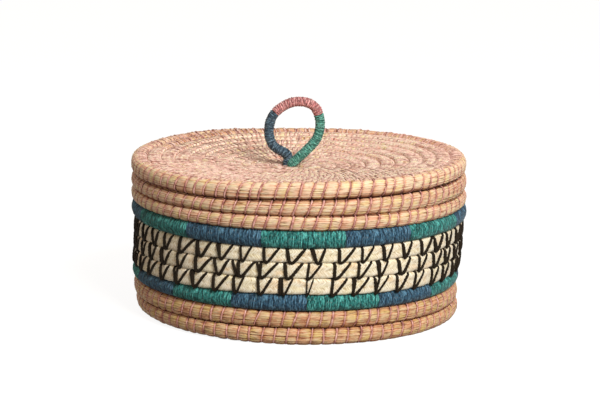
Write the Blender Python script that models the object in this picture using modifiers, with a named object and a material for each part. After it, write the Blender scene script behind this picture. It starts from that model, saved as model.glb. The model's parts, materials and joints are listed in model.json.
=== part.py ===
"""A round basket of coiled grass with a lift-off lid and a wrapped cord handle.

One grass coil spirals out to make the base and then climbs to make the wall, one row a turn.
All rows lie level round the front and step up to the next row behind. Two rows are wrapped
in coloured yarn, three are cream plait laced with black cord, and the lid is a second coil
with a cord loop standing in its middle. Metres, +Z up, the front faces -Y, and the origin
is the middle of the underside.
"""

from collections import namedtuple
from math import cos, floor, inf, pi, radians, sin, sqrt

import bmesh
import bpy
import numpy as np
from mathutils import Vector

# Overall size and the wall's courses, from the foot up
LID_RADIUS = 0.150
Course = namedtuple("Course", "rows rise inset")  # inset: of the outer face from the lid's edge
FOOT = Course(1, 0.0148, 0.0065)
LOWER_WALL = Course(1, 0.0150, 0.0058)
LOWER_BAND = Course(1, 0.0138, 0.0038)
CREAM = Course(3, 0.01383, 0.0040)
UPPER_BAND = Course(1, 0.0153, 0.0004)
NECK = Course(1, 0.0123, 0.0004)
MOUTH = Course(1, 0.0137, 0.0004)

# The coil
ROW_GAP = 0.0007  # between a turn and the next
SEAT_CUT = 0.0005  # how deep the underside is cut flat
CUTTER_DEPTH = 0.020
BASE_PITCH = 0.0128
BASE_HOLE = 0.00155  # radius of the hole where the base starts
START_AZIMUTH = radians(165)
STEP_TURN = 1 / 3  # part of a turn in which the coil steps to its next row
STEP_EASE = 0.896  # each turn of a spiral steps over this much less than the one inside it
TURN_POINTS = 24
INNER_TURN_POINTS = 12  # on turns inside this radius
INNER_RADIUS = 0.070
JOINT_LEAD = 0.5 / TURN_POINTS  # courses join half a step before the coil climbs
JOINT_GAP = 0.0006
HEAD_GAP = 0.0019  # between a coil's tapered start and the turn that curls round it
LEAST_TAIL = 0.0008  # radius at which a tapered coil end stops

# The wrapped bands
YARN_WALL = 0.0016
FIT_GAP = 0.0003
UPPER_WRAPS = 12
LOWER_WRAPS = 14
UPPER_WRAP_PHASE = radians(-75.8)  # azimuth of a joint, clear of the coil's corners
LOWER_WRAP_PHASE = radians(-86.8)

# The black lacing on the cream rows
LACING_RADIUS = 0.0013
LACING_COUNT = 42
LACING_PHASES = (radians(-96.2), radians(-94.7), radians(-92.9))
LACING_LEAN = 0.010  # the right stroke of a V leans this far over one row
LACING_NARROW = 0.002  # the left stroke leans this far
LACING_FOOT = 0.001715  # above the row's lower edge
LACING_SHOULDER = 0.002915  # below its upper edge
LACING_TUCK = 0.000845  # below its upper edge
LACING_TUCK_IN = 0.001285  # inside its outer face

# The lid
LID_RIM_RISE = 0.0142
LID_SEAT_GAP = 0.0005
LID_PITCH = 0.0120
LID_HOLE = 0.00335  # radius of the hole that the handle's stem stands in
LID_STEP = 0.0042  # the second turn's top lies this far below the rim's top
LID_DISH = 0.0106  # the middle's top lies this far below the rim's top
LID_DISH_POWER = 1.8
LOCATING_RADIUS = 0.0055
LOCATING_CLEARANCE = 0.0012
LOCATING_SPLIT = 0.0010

# The handle, a loop of wrapped cord whose two ends stand side by side
HANDLE_MIDDLE = -0.0063
CORD_RADIUS = 0.0041
CORD_YARN_WALL = 0.0013
CORD_ROOT_GAP = 0.0005
CORD_END_GAP = 0.0005
CORD_NECK = 0.0002  # the core narrows from its round end to its yarn's bore over this length
# Left half of the loop, sideways and up from the hinge axis at its root
LEFT_ROUTE = (
    (0.0000, 0.0000), (0.0003, 0.0036), (-0.0030, 0.0077), (-0.0085, 0.0106), (-0.0128, 0.0138),
    (-0.0156, 0.0186), (-0.0171, 0.0246), (-0.0170, 0.0311), (-0.0156, 0.0376), (-0.0121, 0.0437),
    (-0.0054, 0.0494), (0.0021, 0.0531), (0.0106, 0.0543),
)
# Right half, from its root up
RIGHT_ROUTE = (
    (0.0000, 0.0000), (0.0043, 0.0050), (0.0095, 0.0106), (0.0145, 0.0165), (0.0181, 0.0226),
    (0.0201, 0.0296), (0.0203, 0.0366), (0.0188, 0.0433), (0.0159, 0.0488), (0.0106, 0.0527),
)
NAVY_ENDS = 9  # the point of the left half where the pink yarn starts
GREEN_ENDS = 7  # the point of the right half where it stops
ANCHOR_STEM = 0.0021
ANCHOR_KNOT = 0.0095
ANCHOR_KNOT_HEIGHT = 0.0090
KNOT_TOP_ANGLE = 40  # degrees; the knot is a ball cut off above and below at this angle
KNOT_RINGS = 6

HEX = cos(pi / 6)  # a six-sided tube's flats lie at this share of its radius
RIDGE_UP = pi / 6  # tilt that puts two of its ridges at top and bottom
OCT = cos(pi / 8)

# Colours, linear
GRASS = (0.66, 0.45, 0.28, 1)
PALE_GRASS = (0.70, 0.52, 0.34, 1)
CREAM_STRAW = (0.80, 0.70, 0.48, 1)
NAVY = (0.035, 0.080, 0.150, 1)
TEAL = (0.020, 0.220, 0.170, 1)
PINK = (0.55, 0.24, 0.22, 1)
BLACK_CORD = (0.025, 0.018, 0.012, 1)

Station = namedtuple("Station", "place radius tilt")
Row = namedtuple("Row", "radius height thick tilt")  # a row's centreline, and its tube's radius


def clear_scene():
    for ob in list(bpy.data.objects):
        bpy.data.objects.remove(ob)


def new_collection(name):
    made = bpy.data.collections.new(name)
    bpy.context.scene.collection.children.link(made)
    return made


def new_material(name, colour, roughness):
    made = bpy.data.materials.new(name)
    made.use_nodes = True
    shader = made.node_tree.nodes["Principled BSDF"]
    shader.inputs["Base Color"].default_value = colour
    shader.inputs["Roughness"].default_value = roughness
    shader.inputs["Metallic"].default_value = 0.0
    made.diffuse_color = colour
    return made


def new_axis(name, place, parent=None):
    """An empty on a joint's axis, which the pieces that move are parented to."""
    axis = bpy.data.objects.new(name, None)
    axis.location = place
    axis.parent = parent
    basket_parts.objects.link(axis)
    return axis


def tube(name, stations, material, resolution=1, wall=None, parent=None, upright=True):
    """A tube along the stations; a wall thickness makes it an open sleeve."""
    curve = bpy.data.curves.new(name, "CURVE")
    curve.dimensions = "3D"
    curve.twist_mode = "Z_UP" if upright else "MINIMUM"
    curve.bevel_depth = 1.0
    curve.bevel_resolution = resolution
    curve.use_fill_caps = wall is None
    spline = curve.splines.new("POLY")
    spline.points.add(len(stations) - 1)
    for point, station in zip(spline.points, stations):
        point.co = (*station.place, 1)
        point.radius = station.radius
        point.tilt = station.tilt
    curve.materials.append(material)
    made = bpy.data.objects.new(name, curve)
    made.parent = parent
    basket_parts.objects.link(made)
    if wall:
        shell = made.modifiers.new("wall", "SOLIDIFY")
        shell.thickness = wall
        shell.offset = -1
        shell.use_even_offset = True
        shell.use_rim = True
    return made


def least_gap(stations):
    """The least gap between a wound tube and itself, from its points to its straight runs."""
    places = np.array([tuple(s.place) for s in stations])
    runs = places[1:] - places[:-1]
    lengths = np.linalg.norm(runs, axis=1)
    along = np.concatenate([[0], np.cumsum(lengths)])
    onward = runs / lengths[:, None]
    turned_by = (onward[1:] * onward[:-1]).sum(1)
    # where the tube bends, its runs are slimmer than its rings by the cosine of half the bend
    slimmer = np.concatenate([[1], np.sqrt((1 + turned_by) / 2), [1]])
    radii = slimmer * [s.radius for s in stations]
    least = np.inf
    for i, place in enumerate(places):
        share = ((place - places[:-1]) * runs).sum(1) / lengths**2
        share = np.clip(share, 0, 1)
        near = places[:-1] + runs * share[:, None]
        apart = np.linalg.norm(near - place, axis=1)
        apart -= radii[i] + radii[:-1] + (radii[1:] - radii[:-1]) * share
        far = np.abs(along[:-1] + share * lengths - along[i]) > 4 * stations[i].radius
        if far.any():
            least = min(least, apart[far].min())
    return least


def print_gap(name, stations):
    print(f"{name}: least gap to itself {least_gap(stations) * 1000:.2f} mm")


def smooth(share):
    share = min(max(share, 0), 1)
    return share * share * (3 - 2 * share)


def climb(turn):
    """How far a wall row has risen to its own height. It follows the step of the row below."""
    left = 1 - smooth(turn / STEP_TURN)
    return sqrt(1 - left * left)


def between(low, high, share):
    return Row(*(a + (b - a) * share for a, b in zip(low, high)))


def spiral_row(rows, turn):
    """Flat coils: turn k steps out from row k to row k + 1, over less of the turn each time."""
    k = min(floor(turn), len(rows) - 2)
    span = min(STEP_TURN / STEP_EASE ** (len(rows) - 2 - k), 1)
    return between(rows[k], rows[k + 1], smooth((turn - k) / span))


def wall_row(rows, turn):
    k = min(floor(turn), len(rows) - 2)
    return between(rows[k], rows[k + 1], climb(turn - k))


def azimuth_of(turn):
    return START_AZIMUTH - 2 * pi * turn


def turn_at(azimuth, turn):
    """The turn nearest after the given one at which the coil passes an azimuth."""
    return turn + ((START_AZIMUTH - azimuth) / (2 * pi) - turn) % 1


def station_of(row, turn, lower=0):
    angle = azimuth_of(turn)
    place = Vector((row.radius * cos(angle), row.radius * sin(angle), row.height - lower))
    return Station(place, row.thick, row.tilt)


def mixed(a, b, share):
    return Station(
        a.place.lerp(b.place, share),
        a.radius + (b.radius - a.radius) * share,
        a.tilt + (b.tilt - a.tilt) * share,
    )


def winding(row_at, start, end, lower=0):
    """Stations from one turn to another, with the ends on the straight runs between points."""

    def corner(index):
        return station_of(row_at(index / TURN_POINTS), index / TURN_POINTS, lower)

    def part_way(turn):
        index = floor(turn * TURN_POINTS)
        return mixed(corner(index), corner(index + 1), turn * TURN_POINTS - index)

    first = floor(start * TURN_POINTS + 1e-6) + 1
    last = floor(end * TURN_POINTS - 1e-6)
    stride = TURN_POINTS // INNER_TURN_POINTS
    inner = [row_at(i / TURN_POINTS).radius < INNER_RADIUS for i in range(first, last + 1)]
    kept = [
        corner(i)
        for i, within in zip(range(first, last + 1), inner)
        if not within or i % stride == 0
    ]
    return [part_way(start), *kept, part_way(end)]


def course_rows(bottom, course):
    """A course's rows, from the height of its underside up."""
    thick = (course.rise - ROW_GAP) / 2
    radius = LID_RADIUS - course.inset - HEX * thick
    heights = [bottom + (i + 0.5) * course.rise for i in range(course.rows)]
    return [Row(radius, height, thick, RIDGE_UP) for height in heights]


def wall_rows():
    """All rows from the foot to the mouth, and each course's first row."""
    foot_thick = (FOOT.rise - ROW_GAP / 2 + SEAT_CUT) / 2
    foot_radius = LID_RADIUS - FOOT.inset - HEX * foot_thick
    rows = [Row(foot_radius, foot_thick - SEAT_CUT, foot_thick, RIDGE_UP)]
    starts = {}
    bottom = FOOT.rise
    for course in (LOWER_WALL, LOWER_BAND, CREAM, UPPER_BAND, NECK, MOUTH):
        starts[course] = len(rows)
        rows += course_rows(bottom, course)
        bottom += course.rows * course.rise
    return rows, starts, bottom


def spiral_rows(outer, hole, pitch, height_at):
    """Rows of a flat coil from round its hole out to the given outer row."""
    thick = (pitch - ROW_GAP) / 2
    eye = hole + thick
    last = outer.radius - outer.thick - thick - ROW_GAP
    turns = round((last - eye) / pitch)
    pitch = (last - eye) / turns
    thick = (pitch - ROW_GAP) / 2
    radii = [eye + i * pitch for i in range(turns + 1)]
    return [Row(r, height_at(r / last), thick, 0) for r in radii] + [outer]


def tail_of_lid(rows, turn):
    """The lid coil's tapered end, which fills the step that its last turn makes."""
    rim = rows[-1]
    inside = spiral_row(rows, turn - 1)
    face = rim.radius + HEX * rim.thick
    thick = (face - inside.radius - inside.thick - ROW_GAP) / (1 + HEX)
    return Row(face - HEX * thick, rim.height, thick, rim.tilt)


def tail_of_wall(rows, turn):
    """The wall coil's tapered end, level with the mouth."""
    mouth = rows[-1]
    below = wall_row(rows, turn - 1)
    top = mouth.height + mouth.thick
    thick = (top - below.height - below.thick - ROW_GAP) / 2
    return Row(mouth.radius, top - thick, thick, mouth.tilt)


def head_of_spiral(rows, turn):
    """A flat coil's tapered start, which leaves a round eye inside its first full turn."""
    eye = rows[0].radius - rows[0].thick
    outside = spiral_row(rows, turn + 1)
    thick = (outside.radius - outside.thick - HEAD_GAP - eye) / 2
    return Row(eye + thick, rows[0].height, thick, rows[0].tilt)


def whole_spiral(rows, turn):
    return head_of_spiral(rows, turn) if turn < 0 else spiral_row(rows, turn)


def head_start(rows):
    """The turn, before the first, at which a flat coil's tapered start is thick enough."""
    start = 0
    while head_of_spiral(rows, start - 1 / INNER_TURN_POINTS).thick > LEAST_TAIL:
        start -= 1 / INNER_TURN_POINTS
    return start


def with_tail(row_at, tail_at, rows):
    """A coil that ends in its tail, and the turn at which the tail is too thin to go on."""
    full = len(rows) - 1

    def whole(turn):
        return tail_at(rows, turn) if turn > full else row_at(rows, turn)

    end = full
    while tail_at(rows, end + 1 / TURN_POINTS).thick > LEAST_TAIL:
        end += 1 / TURN_POINTS
    return whole, end


def joint_of(row_number):
    return row_number - 1 - JOINT_LEAD


def trimmed(start, end, radius):
    """A stretch of coil, shorter at both ends by half a joint's gap."""
    trim = JOINT_GAP / 2 / (2 * pi * radius)
    return start + trim, end - trim


def make_base(rows, material):
    """The base coil, out to the row that the basket stands on, cut flat beneath."""
    _, end = trimmed(0, len(rows) - 1 - JOINT_LEAD, rows[-1].radius)
    stations = winding(lambda turn: whole_spiral(rows, turn), head_start(rows), end)
    print_gap("base_coil", stations)
    curve = tube("base_coil_curve", stations, material)
    view = bpy.context.evaluated_depsgraph_get()
    mesh = bpy.data.meshes.new_from_object(curve.evaluated_get(view))
    mesh.name = "base_coil"
    loose = bmesh.new()
    loose.from_mesh(mesh)
    bmesh.ops.remove_doubles(loose, verts=loose.verts, dist=1e-7)
    loose.to_mesh(mesh)
    loose.free()
    made = bpy.data.objects.new("base_coil", mesh)
    made.matrix_world = curve.matrix_world
    basket_parts.objects.link(made)
    bpy.data.objects.remove(curve)

    bpy.ops.mesh.primitive_cube_add(size=1, location=(0, 0, -CUTTER_DEPTH / 2))
    floor_cutter = bpy.context.object
    floor_cutter.name = "floor_cutter"
    floor_cutter.scale = (4 * LID_RADIUS, 4 * LID_RADIUS, CUTTER_DEPTH)
    floor_cutter.hide_render = True
    floor_cutter.display_type = "WIRE"
    for home in list(floor_cutter.users_collection):
        home.objects.unlink(floor_cutter)
    cutters.objects.link(floor_cutter)
    cut = made.modifiers.new("flat_underside", "BOOLEAN")
    cut.operation = "DIFFERENCE"
    cut.object = floor_cutter


def make_course(name, rows, course, starts, material, thinner=0):
    """One course of the wall, as one unbroken tube."""
    first = starts[course]
    start, end = trimmed(joint_of(first), joint_of(first + course.rows), rows[first].radius)
    stations = winding(lambda turn: wall_row(rows, turn), start, end)
    stations = [s._replace(radius=s.radius - thinner) for s in stations]
    if course.rows > 1:
        print_gap(name, stations)
    tube(name, stations, material)


def make_upper_wall(rows, starts, material):
    """The two rows above the upper band, to the coil's tapered end."""
    whole, tail_end = with_tail(wall_row, tail_of_wall, rows)
    start, _ = trimmed(joint_of(starts[NECK]), 0, rows[-1].radius)
    stations = winding(whole, start, tail_end)
    print_gap("upper_wall_coil", stations)
    tube("upper_wall_coil", stations, material)


def make_wraps(name, rows, course, starts, count, phase, colours):
    """The coloured yarn round a band's grass core, one sleeve for each length of colour.

    The first colour is the one that comes next along the coil after the joint at the phase.
    """
    start = joint_of(starts[course])
    end = start + course.rows
    first = turn_at(phase, start)
    first -= floor((first - start) * count) / count
    joints = [start, *(first + i / count for i in range(count)), end]
    joints = [t for t in joints if start <= t <= end]
    if joints[1] - joints[0] < 0.5 / count:
        joints.pop(1)
    if joints[-1] - joints[-2] < 0.5 / count:
        joints.pop(-2)
    front = turn_at(phase, start)
    for i, (low, high) in enumerate(zip(joints, joints[1:])):
        low, high = trimmed(low, high, rows[starts[course]].radius)
        stations = winding(lambda turn: wall_row(rows, turn), low, high)
        colour = floor(((low + high) / 2 - front) * count) % 2
        tube(f"{name}_{i + 1:02d}", stations, colours[colour], wall=YARN_WALL)


def make_lacing(name, rows, row_number, rise, phase):
    """Black cord over one cream row: a V, then a dip into the groove on its way to the next."""
    start, end = joint_of(row_number), joint_of(row_number + 1)
    first = turn_at(phase, start)
    first -= floor((first - start) * LACING_COUNT) / LACING_COUNT
    row = rows[row_number]
    out = HEX * row.thick + FIT_GAP + LACING_RADIUS
    turns_per_metre = 1 / (2 * pi * (row.radius + out))
    gap = 1 / LACING_COUNT
    between_vs = (LACING_NARROW - LACING_LEAN) / 2 * turns_per_metre + gap / 2
    foot = LACING_FOOT - rise / 2
    shoulder = rise / 2 - LACING_SHOULDER
    tuck_out = HEX * row.thick - LACING_TUCK_IN
    # azimuth falls along the coil, so a step to the right in front is a step back
    steps = (
        (-LACING_LEAN * turns_per_metre, out, shoulder),
        (0, out, foot),
        (LACING_NARROW * turns_per_metre, out, shoulder),
        (between_vs, tuck_out, rise / 2 - LACING_TUCK),
    )
    stations = []
    for i in range(LACING_COUNT):
        for turn_on, outward, up in steps:
            turn = first + i * gap + turn_on
            if start + gap / 4 < turn < end - gap / 4:
                here = wall_row(rows, turn)
                place = station_of(here, turn).place
                angle = azimuth_of(turn)
                place += Vector((outward * cos(angle), outward * sin(angle), up))
                stations.append(Station(place, LACING_RADIUS, 0))
    tube(name, stations, black, resolution=0, upright=False)


def height_below(station, radius, thick):
    """The height at which a level ring of six-sided tube may touch a coil that passes over it."""
    aside = abs(station.place.xy.length - radius)
    reach = station.radius + thick
    if aside >= reach:
        return inf
    straight_down = HEX * thick + station.radius * cos(pi / 6 - station.tilt)
    return station.place.z - min(straight_down, sqrt(reach**2 - aside**2))


def make_lid(mouth_height, mouth_row, axis):
    """The lid's coil, the hidden ring that centres it in the mouth, and the cord's knot."""
    rim_thick = LID_RIM_RISE / 2
    rim_height = mouth_height + rim_thick
    rim = Row(LID_RADIUS - HEX * rim_thick, rim_height, rim_thick, RIDGE_UP)
    thick = (LID_PITCH - ROW_GAP) / 2
    rim_top = rim_height + rim_thick
    low = rim_top - LID_DISH - HEX * thick
    high = rim_top - LID_STEP - HEX * thick
    rows = spiral_rows(
        rim, LID_HOLE, LID_PITCH, lambda share: low + (high - low) * share**LID_DISH_POWER
    )
    whole, end = with_tail(whole_spiral, tail_of_lid, rows)
    zero = axis.location.z
    stations = winding(whole, head_start(rows), end, lower=zero)
    print_gap("lid_coil", stations)
    tube("lid_coil", stations, pale_grass, parent=axis)

    inside = mouth_row.radius - HEX * mouth_row.thick
    ring_radius = inside - LOCATING_CLEARANCE - LOCATING_RADIUS
    seat = min(height_below(s, ring_radius, LOCATING_RADIUS) for s in stations)
    ring = Row(ring_radius, zero + seat - FIT_GAP, LOCATING_RADIUS, 0)
    split = LOCATING_SPLIT / (2 * pi * ring.radius) / 2
    half_step = 0.5 / TURN_POINTS
    stations = winding(lambda turn: ring, half_step + split, 1 + half_step - split, lower=zero)
    tube("lid_locating_coil", stations, pale_grass, parent=axis)

    low_at_eye = low - HEX * thick
    top_at_eye = low + HEX * thick
    knot_top = low_at_eye - FIT_GAP
    bulge = ANCHOR_KNOT_HEIGHT / 2
    profile = [(0, top_at_eye), (ANCHOR_STEM, top_at_eye), (ANCHOR_STEM, knot_top)]
    top_angle = radians(KNOT_TOP_ANGLE)
    for i in range(KNOT_RINGS):
        angle = top_angle * (1 - 2 * i / (KNOT_RINGS - 1))
        middle = knot_top - bulge
        profile.append((ANCHOR_KNOT * cos(angle), middle + bulge * sin(angle) / sin(top_angle)))
    profile.append((0, knot_top - 2 * bulge))
    turned("handle_anchor", [(r, z - zero) for r, z in profile], cord_brown, axis)
    return top_at_eye


def turned(name, profile, material, parent):
    """A solid of revolution from its outer line, top to bottom."""
    mesh = bpy.data.meshes.new(name)
    line = bmesh.new()
    verts = [line.verts.new((r, 0, z)) for r, z in profile]
    for a, b in zip(verts, verts[1:]):
        line.edges.new((a, b))
    line.to_mesh(mesh)
    line.free()
    mesh.materials.append(material)
    made = bpy.data.objects.new(name, mesh)
    made.parent = parent
    basket_parts.objects.link(made)
    spin = made.modifiers.new("turned", "SCREW")
    spin.angle = 2 * pi
    spin.steps = 16
    spin.render_steps = 16
    spin.use_merge_vertices = True
    spin.merge_threshold = 1e-6
    spin.use_smooth_shade = True
    return made


def smooth_route(points):
    """Points on a smooth curve through a route's own points, two for each stretch."""
    ends = [points[0] * 2 - points[1], *points, points[-1] * 2 - points[-2]]
    bulge = 1 / 16  # how far the middle of a stretch leans away from its outer neighbours
    route = []
    for a, b, c, d in zip(ends, ends[1:], ends[2:], ends[3:]):
        route.append(b)
        route.append((b + c) / 2 + (b + c - a - d) * bulge)
    route.append(points[-1])
    return route


def make_handle(axis):
    """The loop: a cord core with a round end at each root, in three lengths of yarn."""
    root = CORD_RADIUS + CORD_ROOT_GAP / 2
    left = [Vector((x - root, 0, z)) for x, z in LEFT_ROUTE]
    right = [Vector((x + root, 0, z)) for x, z in RIGHT_ROUTE]
    route = smooth_route(left + right[::-1])
    core_radius = CORD_RADIUS - (CORD_YARN_WALL + FIT_GAP) / OCT

    def round_end(at, onward):
        ball = [
            Station(at - onward * CORD_RADIUS * cos(a), CORD_RADIUS * sin(a), 0)
            for a in (radians(20), radians(45), radians(70), radians(90))
        ]
        return [*ball, Station(at + onward * CORD_NECK, core_radius, 0)]

    up_left = (route[1] - route[0]).normalized()
    up_right = (route[-2] - route[-1]).normalized()
    core = round_end(route[0], up_left)
    core += [Station(p, core_radius, 0) for p in route[1:-1]]
    core += round_end(route[-1], up_right)[::-1]
    tube("handle_core", core, cord_brown, resolution=2, parent=axis, upright=False)

    pink_starts = 2 * NAVY_ENDS
    pink_ends = len(route) - 1 - 2 * GREEN_ENDS
    lengths = (
        ("handle_wrap_navy", 0, pink_starts, navy),
        ("handle_wrap_pink", pink_starts, pink_ends, pink),
        ("handle_wrap_green", pink_ends, len(route) - 1, teal),
    )
    for name, first, last, material in lengths:
        line = [Vector(p) for p in route[first : last + 1]]
        line[0] += (line[1] - line[0]).normalized() * CORD_END_GAP
        line[-1] += (line[-2] - line[-1]).normalized() * CORD_END_GAP
        stations = [Station(p, CORD_RADIUS, 0) for p in line]
        tube(name, stations, material, 2, CORD_YARN_WALL, axis, upright=False)


clear_scene()
basket_parts = new_collection("lidded_basket")
cutters = new_collection("cutters")
grass = new_material("grass", GRASS, 0.75)
pale_grass = new_material("pale_grass", PALE_GRASS, 0.75)
cream = new_material("cream_straw", CREAM_STRAW, 0.7)
navy = new_material("navy_yarn", NAVY, 0.9)
teal = new_material("teal_yarn", TEAL, 0.9)
pink = new_material("pink_yarn", PINK, 0.9)
black = new_material("black_cord", BLACK_CORD, 0.8)
cord_brown = new_material("core_cord", GRASS, 0.85)

wall, course_starts, mouth_height = wall_rows()
base_thick = (BASE_PITCH - ROW_GAP) / 2
base = spiral_rows(wall[0], BASE_HOLE, BASE_PITCH, lambda share: HEX * base_thick - SEAT_CUT)
make_base(base, grass)
make_course("lower_wall_coil", wall, LOWER_WALL, course_starts, grass)
core_thinner = (YARN_WALL + FIT_GAP) / HEX
make_course("lower_band_core", wall, LOWER_BAND, course_starts, grass, core_thinner)
make_course("cream_coil", wall, CREAM, course_starts, cream)
make_course("upper_band_core", wall, UPPER_BAND, course_starts, grass, core_thinner)
make_upper_wall(wall, course_starts, grass)
make_wraps(
    "lower_band_wrap", wall, LOWER_BAND, course_starts, LOWER_WRAPS, LOWER_WRAP_PHASE, (navy, teal)
)
make_wraps(
    "upper_band_wrap", wall, UPPER_BAND, course_starts, UPPER_WRAPS, UPPER_WRAP_PHASE, (teal, navy)
)
for i, lacing_phase in enumerate(LACING_PHASES):
    make_lacing(f"black_lacing_{i + 1}", wall, course_starts[CREAM] + i, CREAM.rise, lacing_phase)

lid_axis = new_axis("lid_lift_axis", (0, 0, mouth_height))
surface = make_lid(mouth_height + LID_SEAT_GAP, wall[-1], lid_axis)
tilt_height = surface + CORD_END_GAP + CORD_RADIUS
tilt_axis = new_axis("handle_tilt_axis", (HANDLE_MIDDLE, 0, tilt_height - mouth_height), lid_axis)
make_handle(tilt_axis)
print(f"mouth {mouth_height * 1000:.2f} mm, handle axis {tilt_height * 1000:.2f} mm")
print(f"base rest point radius {base[-2].radius * 1000:.2f} mm")
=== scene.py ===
"""A lidded basket of coiled grass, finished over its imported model."""

import json
from collections import namedtuple
from math import ceil, cos, floor, pi, radians, sin, sqrt

import bpy
import numpy as np
from mathutils import Euler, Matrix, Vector


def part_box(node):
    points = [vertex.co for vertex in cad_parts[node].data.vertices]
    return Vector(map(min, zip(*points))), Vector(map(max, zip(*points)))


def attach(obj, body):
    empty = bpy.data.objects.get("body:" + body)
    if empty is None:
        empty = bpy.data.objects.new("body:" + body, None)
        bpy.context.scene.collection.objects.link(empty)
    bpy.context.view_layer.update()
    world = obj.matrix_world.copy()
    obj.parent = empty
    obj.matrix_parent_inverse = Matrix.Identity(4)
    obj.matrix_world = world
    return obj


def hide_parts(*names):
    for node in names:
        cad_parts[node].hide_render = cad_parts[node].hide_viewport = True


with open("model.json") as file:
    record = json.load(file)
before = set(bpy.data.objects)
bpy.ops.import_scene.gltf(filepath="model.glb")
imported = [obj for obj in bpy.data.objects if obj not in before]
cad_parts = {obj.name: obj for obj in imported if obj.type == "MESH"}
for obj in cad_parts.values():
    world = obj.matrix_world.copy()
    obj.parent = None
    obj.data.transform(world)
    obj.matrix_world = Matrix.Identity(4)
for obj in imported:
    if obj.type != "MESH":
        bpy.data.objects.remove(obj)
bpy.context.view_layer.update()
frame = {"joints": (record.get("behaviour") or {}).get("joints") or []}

# The base and the foot.
# A bundle of dried grass as thick as a finger is coiled from the middle outwards. Pink thread
# binds each turn to the one inside it, and the outermost turn is the foot under the wall.

Spot = namedtuple("Spot", "radius height deep high")  # a coil's middle, and its half thickness
Line = namedtuple("Line", "turns places along")  # the middle of a stretch of coil

STEP_AT = radians(165)  # every turn steps out, or up, to the next row behind the basket
STEP_TURN = 1 / 3
STEP_SHRINK = 0.896  # a flat coil's step takes this share of the one a turn further in
LEAD = 0.5 / 24  # the wall's courses join this much of a turn before the coil climbs
POINTS_A_TURN = 120
HALF_GAP = 0.00035  # the model's rows lie this much under their full height
ROWS_MEET = 0.00015  # rows press into each other this much
WALL_DEEP = 0.0064
WALL_HIGH = 0.0070
STITCH = 0.0102
BASE_STITCH = 0.0092
BASE_EYE = 0.0076
BASE_HEAD = 0.66  # of a turn, along which the coil's thin head fills out
BASE_TURNS = 9
BASE_DEEP = 0.0064
BASE_HIGH = 0.0054
BASE_PRESSED = 0.0004  # its underside is pressed flat by this much
HEAD_THIN = 0.0007  # half the least thickness of a coil's head

UP = radians(90)
OUT = 0
GRASS_SQUARENESS = 2.35  # of a coil's section: 2 is an ellipse
FACE_HALF = 0.56 * pi  # the side of a section that shows reaches this far round, each way
ROW_SIDES = 40, 12  # of a section, where it shows and behind
BASE_SIDES = 14, 10
FINE_CELL = (0, 0.10, 0.24, 0.40, 0.58, 0.75, 0.90)  # where rings lie from stitch to stitch
PLAIN_CELL = (0, 0.14, 0.40, 0.66, 0.88)

STALK_RELIEF = 0.00015
STALK_GOES_ON = 0.75  # of a stalk's height, from one stitch to the next
STALK_CHANGES = 0.66
STALK_GAP = 1.4  # every third stalk lies this many reliefs lower
STALK_SHADE = 0.17  # a low stalk gets this much more painted shade for each relief
GRASS_WANDER = 0.08  # of a stitch, by which the stitches stray from an even spacing
MOST_WANDER = 0.4
GRASS_PUFF = 0.00034  # half way between two stitches
PUFF_UNEVEN = 0.35
GRASS_PINCH = 0.00064  # at a stitch
PINCH_REACH = 0.24  # of the way to the next stitch
PINCH_SHARP = 1.5
# How closely the painted shade keeps to a coil's creases
CREASE_SHARP = 5
GRASS_SHADES = 0.75, 1, 1  # painted shade in its stitches, and in its creases above and below

THREAD_THICK = 0.00034  # half of it
THREAD_WIDE = 0.00088  # half of it
THREAD_PROUD = 1.7  # its middle stands this many half thicknesses off the grass
THREAD_UNEVEN = 0.14
THREAD_THINNEST = 0.4
THREAD_THICKEST = 1.8
THREAD_SIDES = 4
LOOP_SIDES = 13
LOOP_WIRE = 0.1  # of the ring that a loop is made from, whose radius is 1
THREAD_LEAN = 0.0021
LEAN_UNEVEN = 0.35
HIDDEN_UNDER = 0.004  # a loop goes down by up to half of this where it is hidden
SHOWN_TO = 0.5  # the cosine of the angle up to which a loop shows


def eased(share):
    share = min(max(share, 0), 1)
    return share * share * (3 - 2 * share)


def climbed(share):
    """A wall row's rise to its own height, over the step of the row below."""
    left = 1 - eased(share)
    return sqrt(1 - left * left)


def part_way(low, high, share):
    return Spot(*(a + (b - a) * share for a, b in zip(low, high)))


def line_of(spot_at, start, end):
    """The middle of a coil that winds clockwise, from one turn to another."""
    turns = np.linspace(start, end, ceil((end - start) * POINTS_A_TURN) + 2)
    spots = [spot_at(turn) for turn in turns]
    radii = np.array([spot.radius for spot in spots])
    angles = STEP_AT - 2 * pi * turns
    heights = np.array([spot.height for spot in spots])
    places = np.stack([radii * np.cos(angles), radii * np.sin(angles), heights], 1)
    return Line(turns, places, run_along(places))


def run_along(places):
    runs = np.linalg.norm(np.diff(places, axis=0), axis=1)
    return np.concatenate([[0], np.cumsum(runs)])


def sizes_on(line, spot_at, x):
    """Half thicknesses across and upwards at places along a line, as columns."""
    spots = [spot_at(turn) for turn in np.interp(x, line.along, line.turns)]
    deep = np.array([spot.deep for spot in spots])
    high = np.array([spot.high for spot in spots])
    return deep[:, None], high[:, None]


def active(piece):
    bpy.ops.object.select_all(action="DESELECT")
    piece.select_set(True)
    bpy.context.view_layer.objects.active = piece


def apply(piece, kind, **settings):
    """Puts one modifier on a piece and applies it."""
    active(piece)
    modifier = piece.modifiers.new(kind.lower(), kind)
    for key, value in settings.items():
        setattr(modifier, key, value)
    bpy.ops.object.modifier_apply(modifier=modifier.name)


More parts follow.
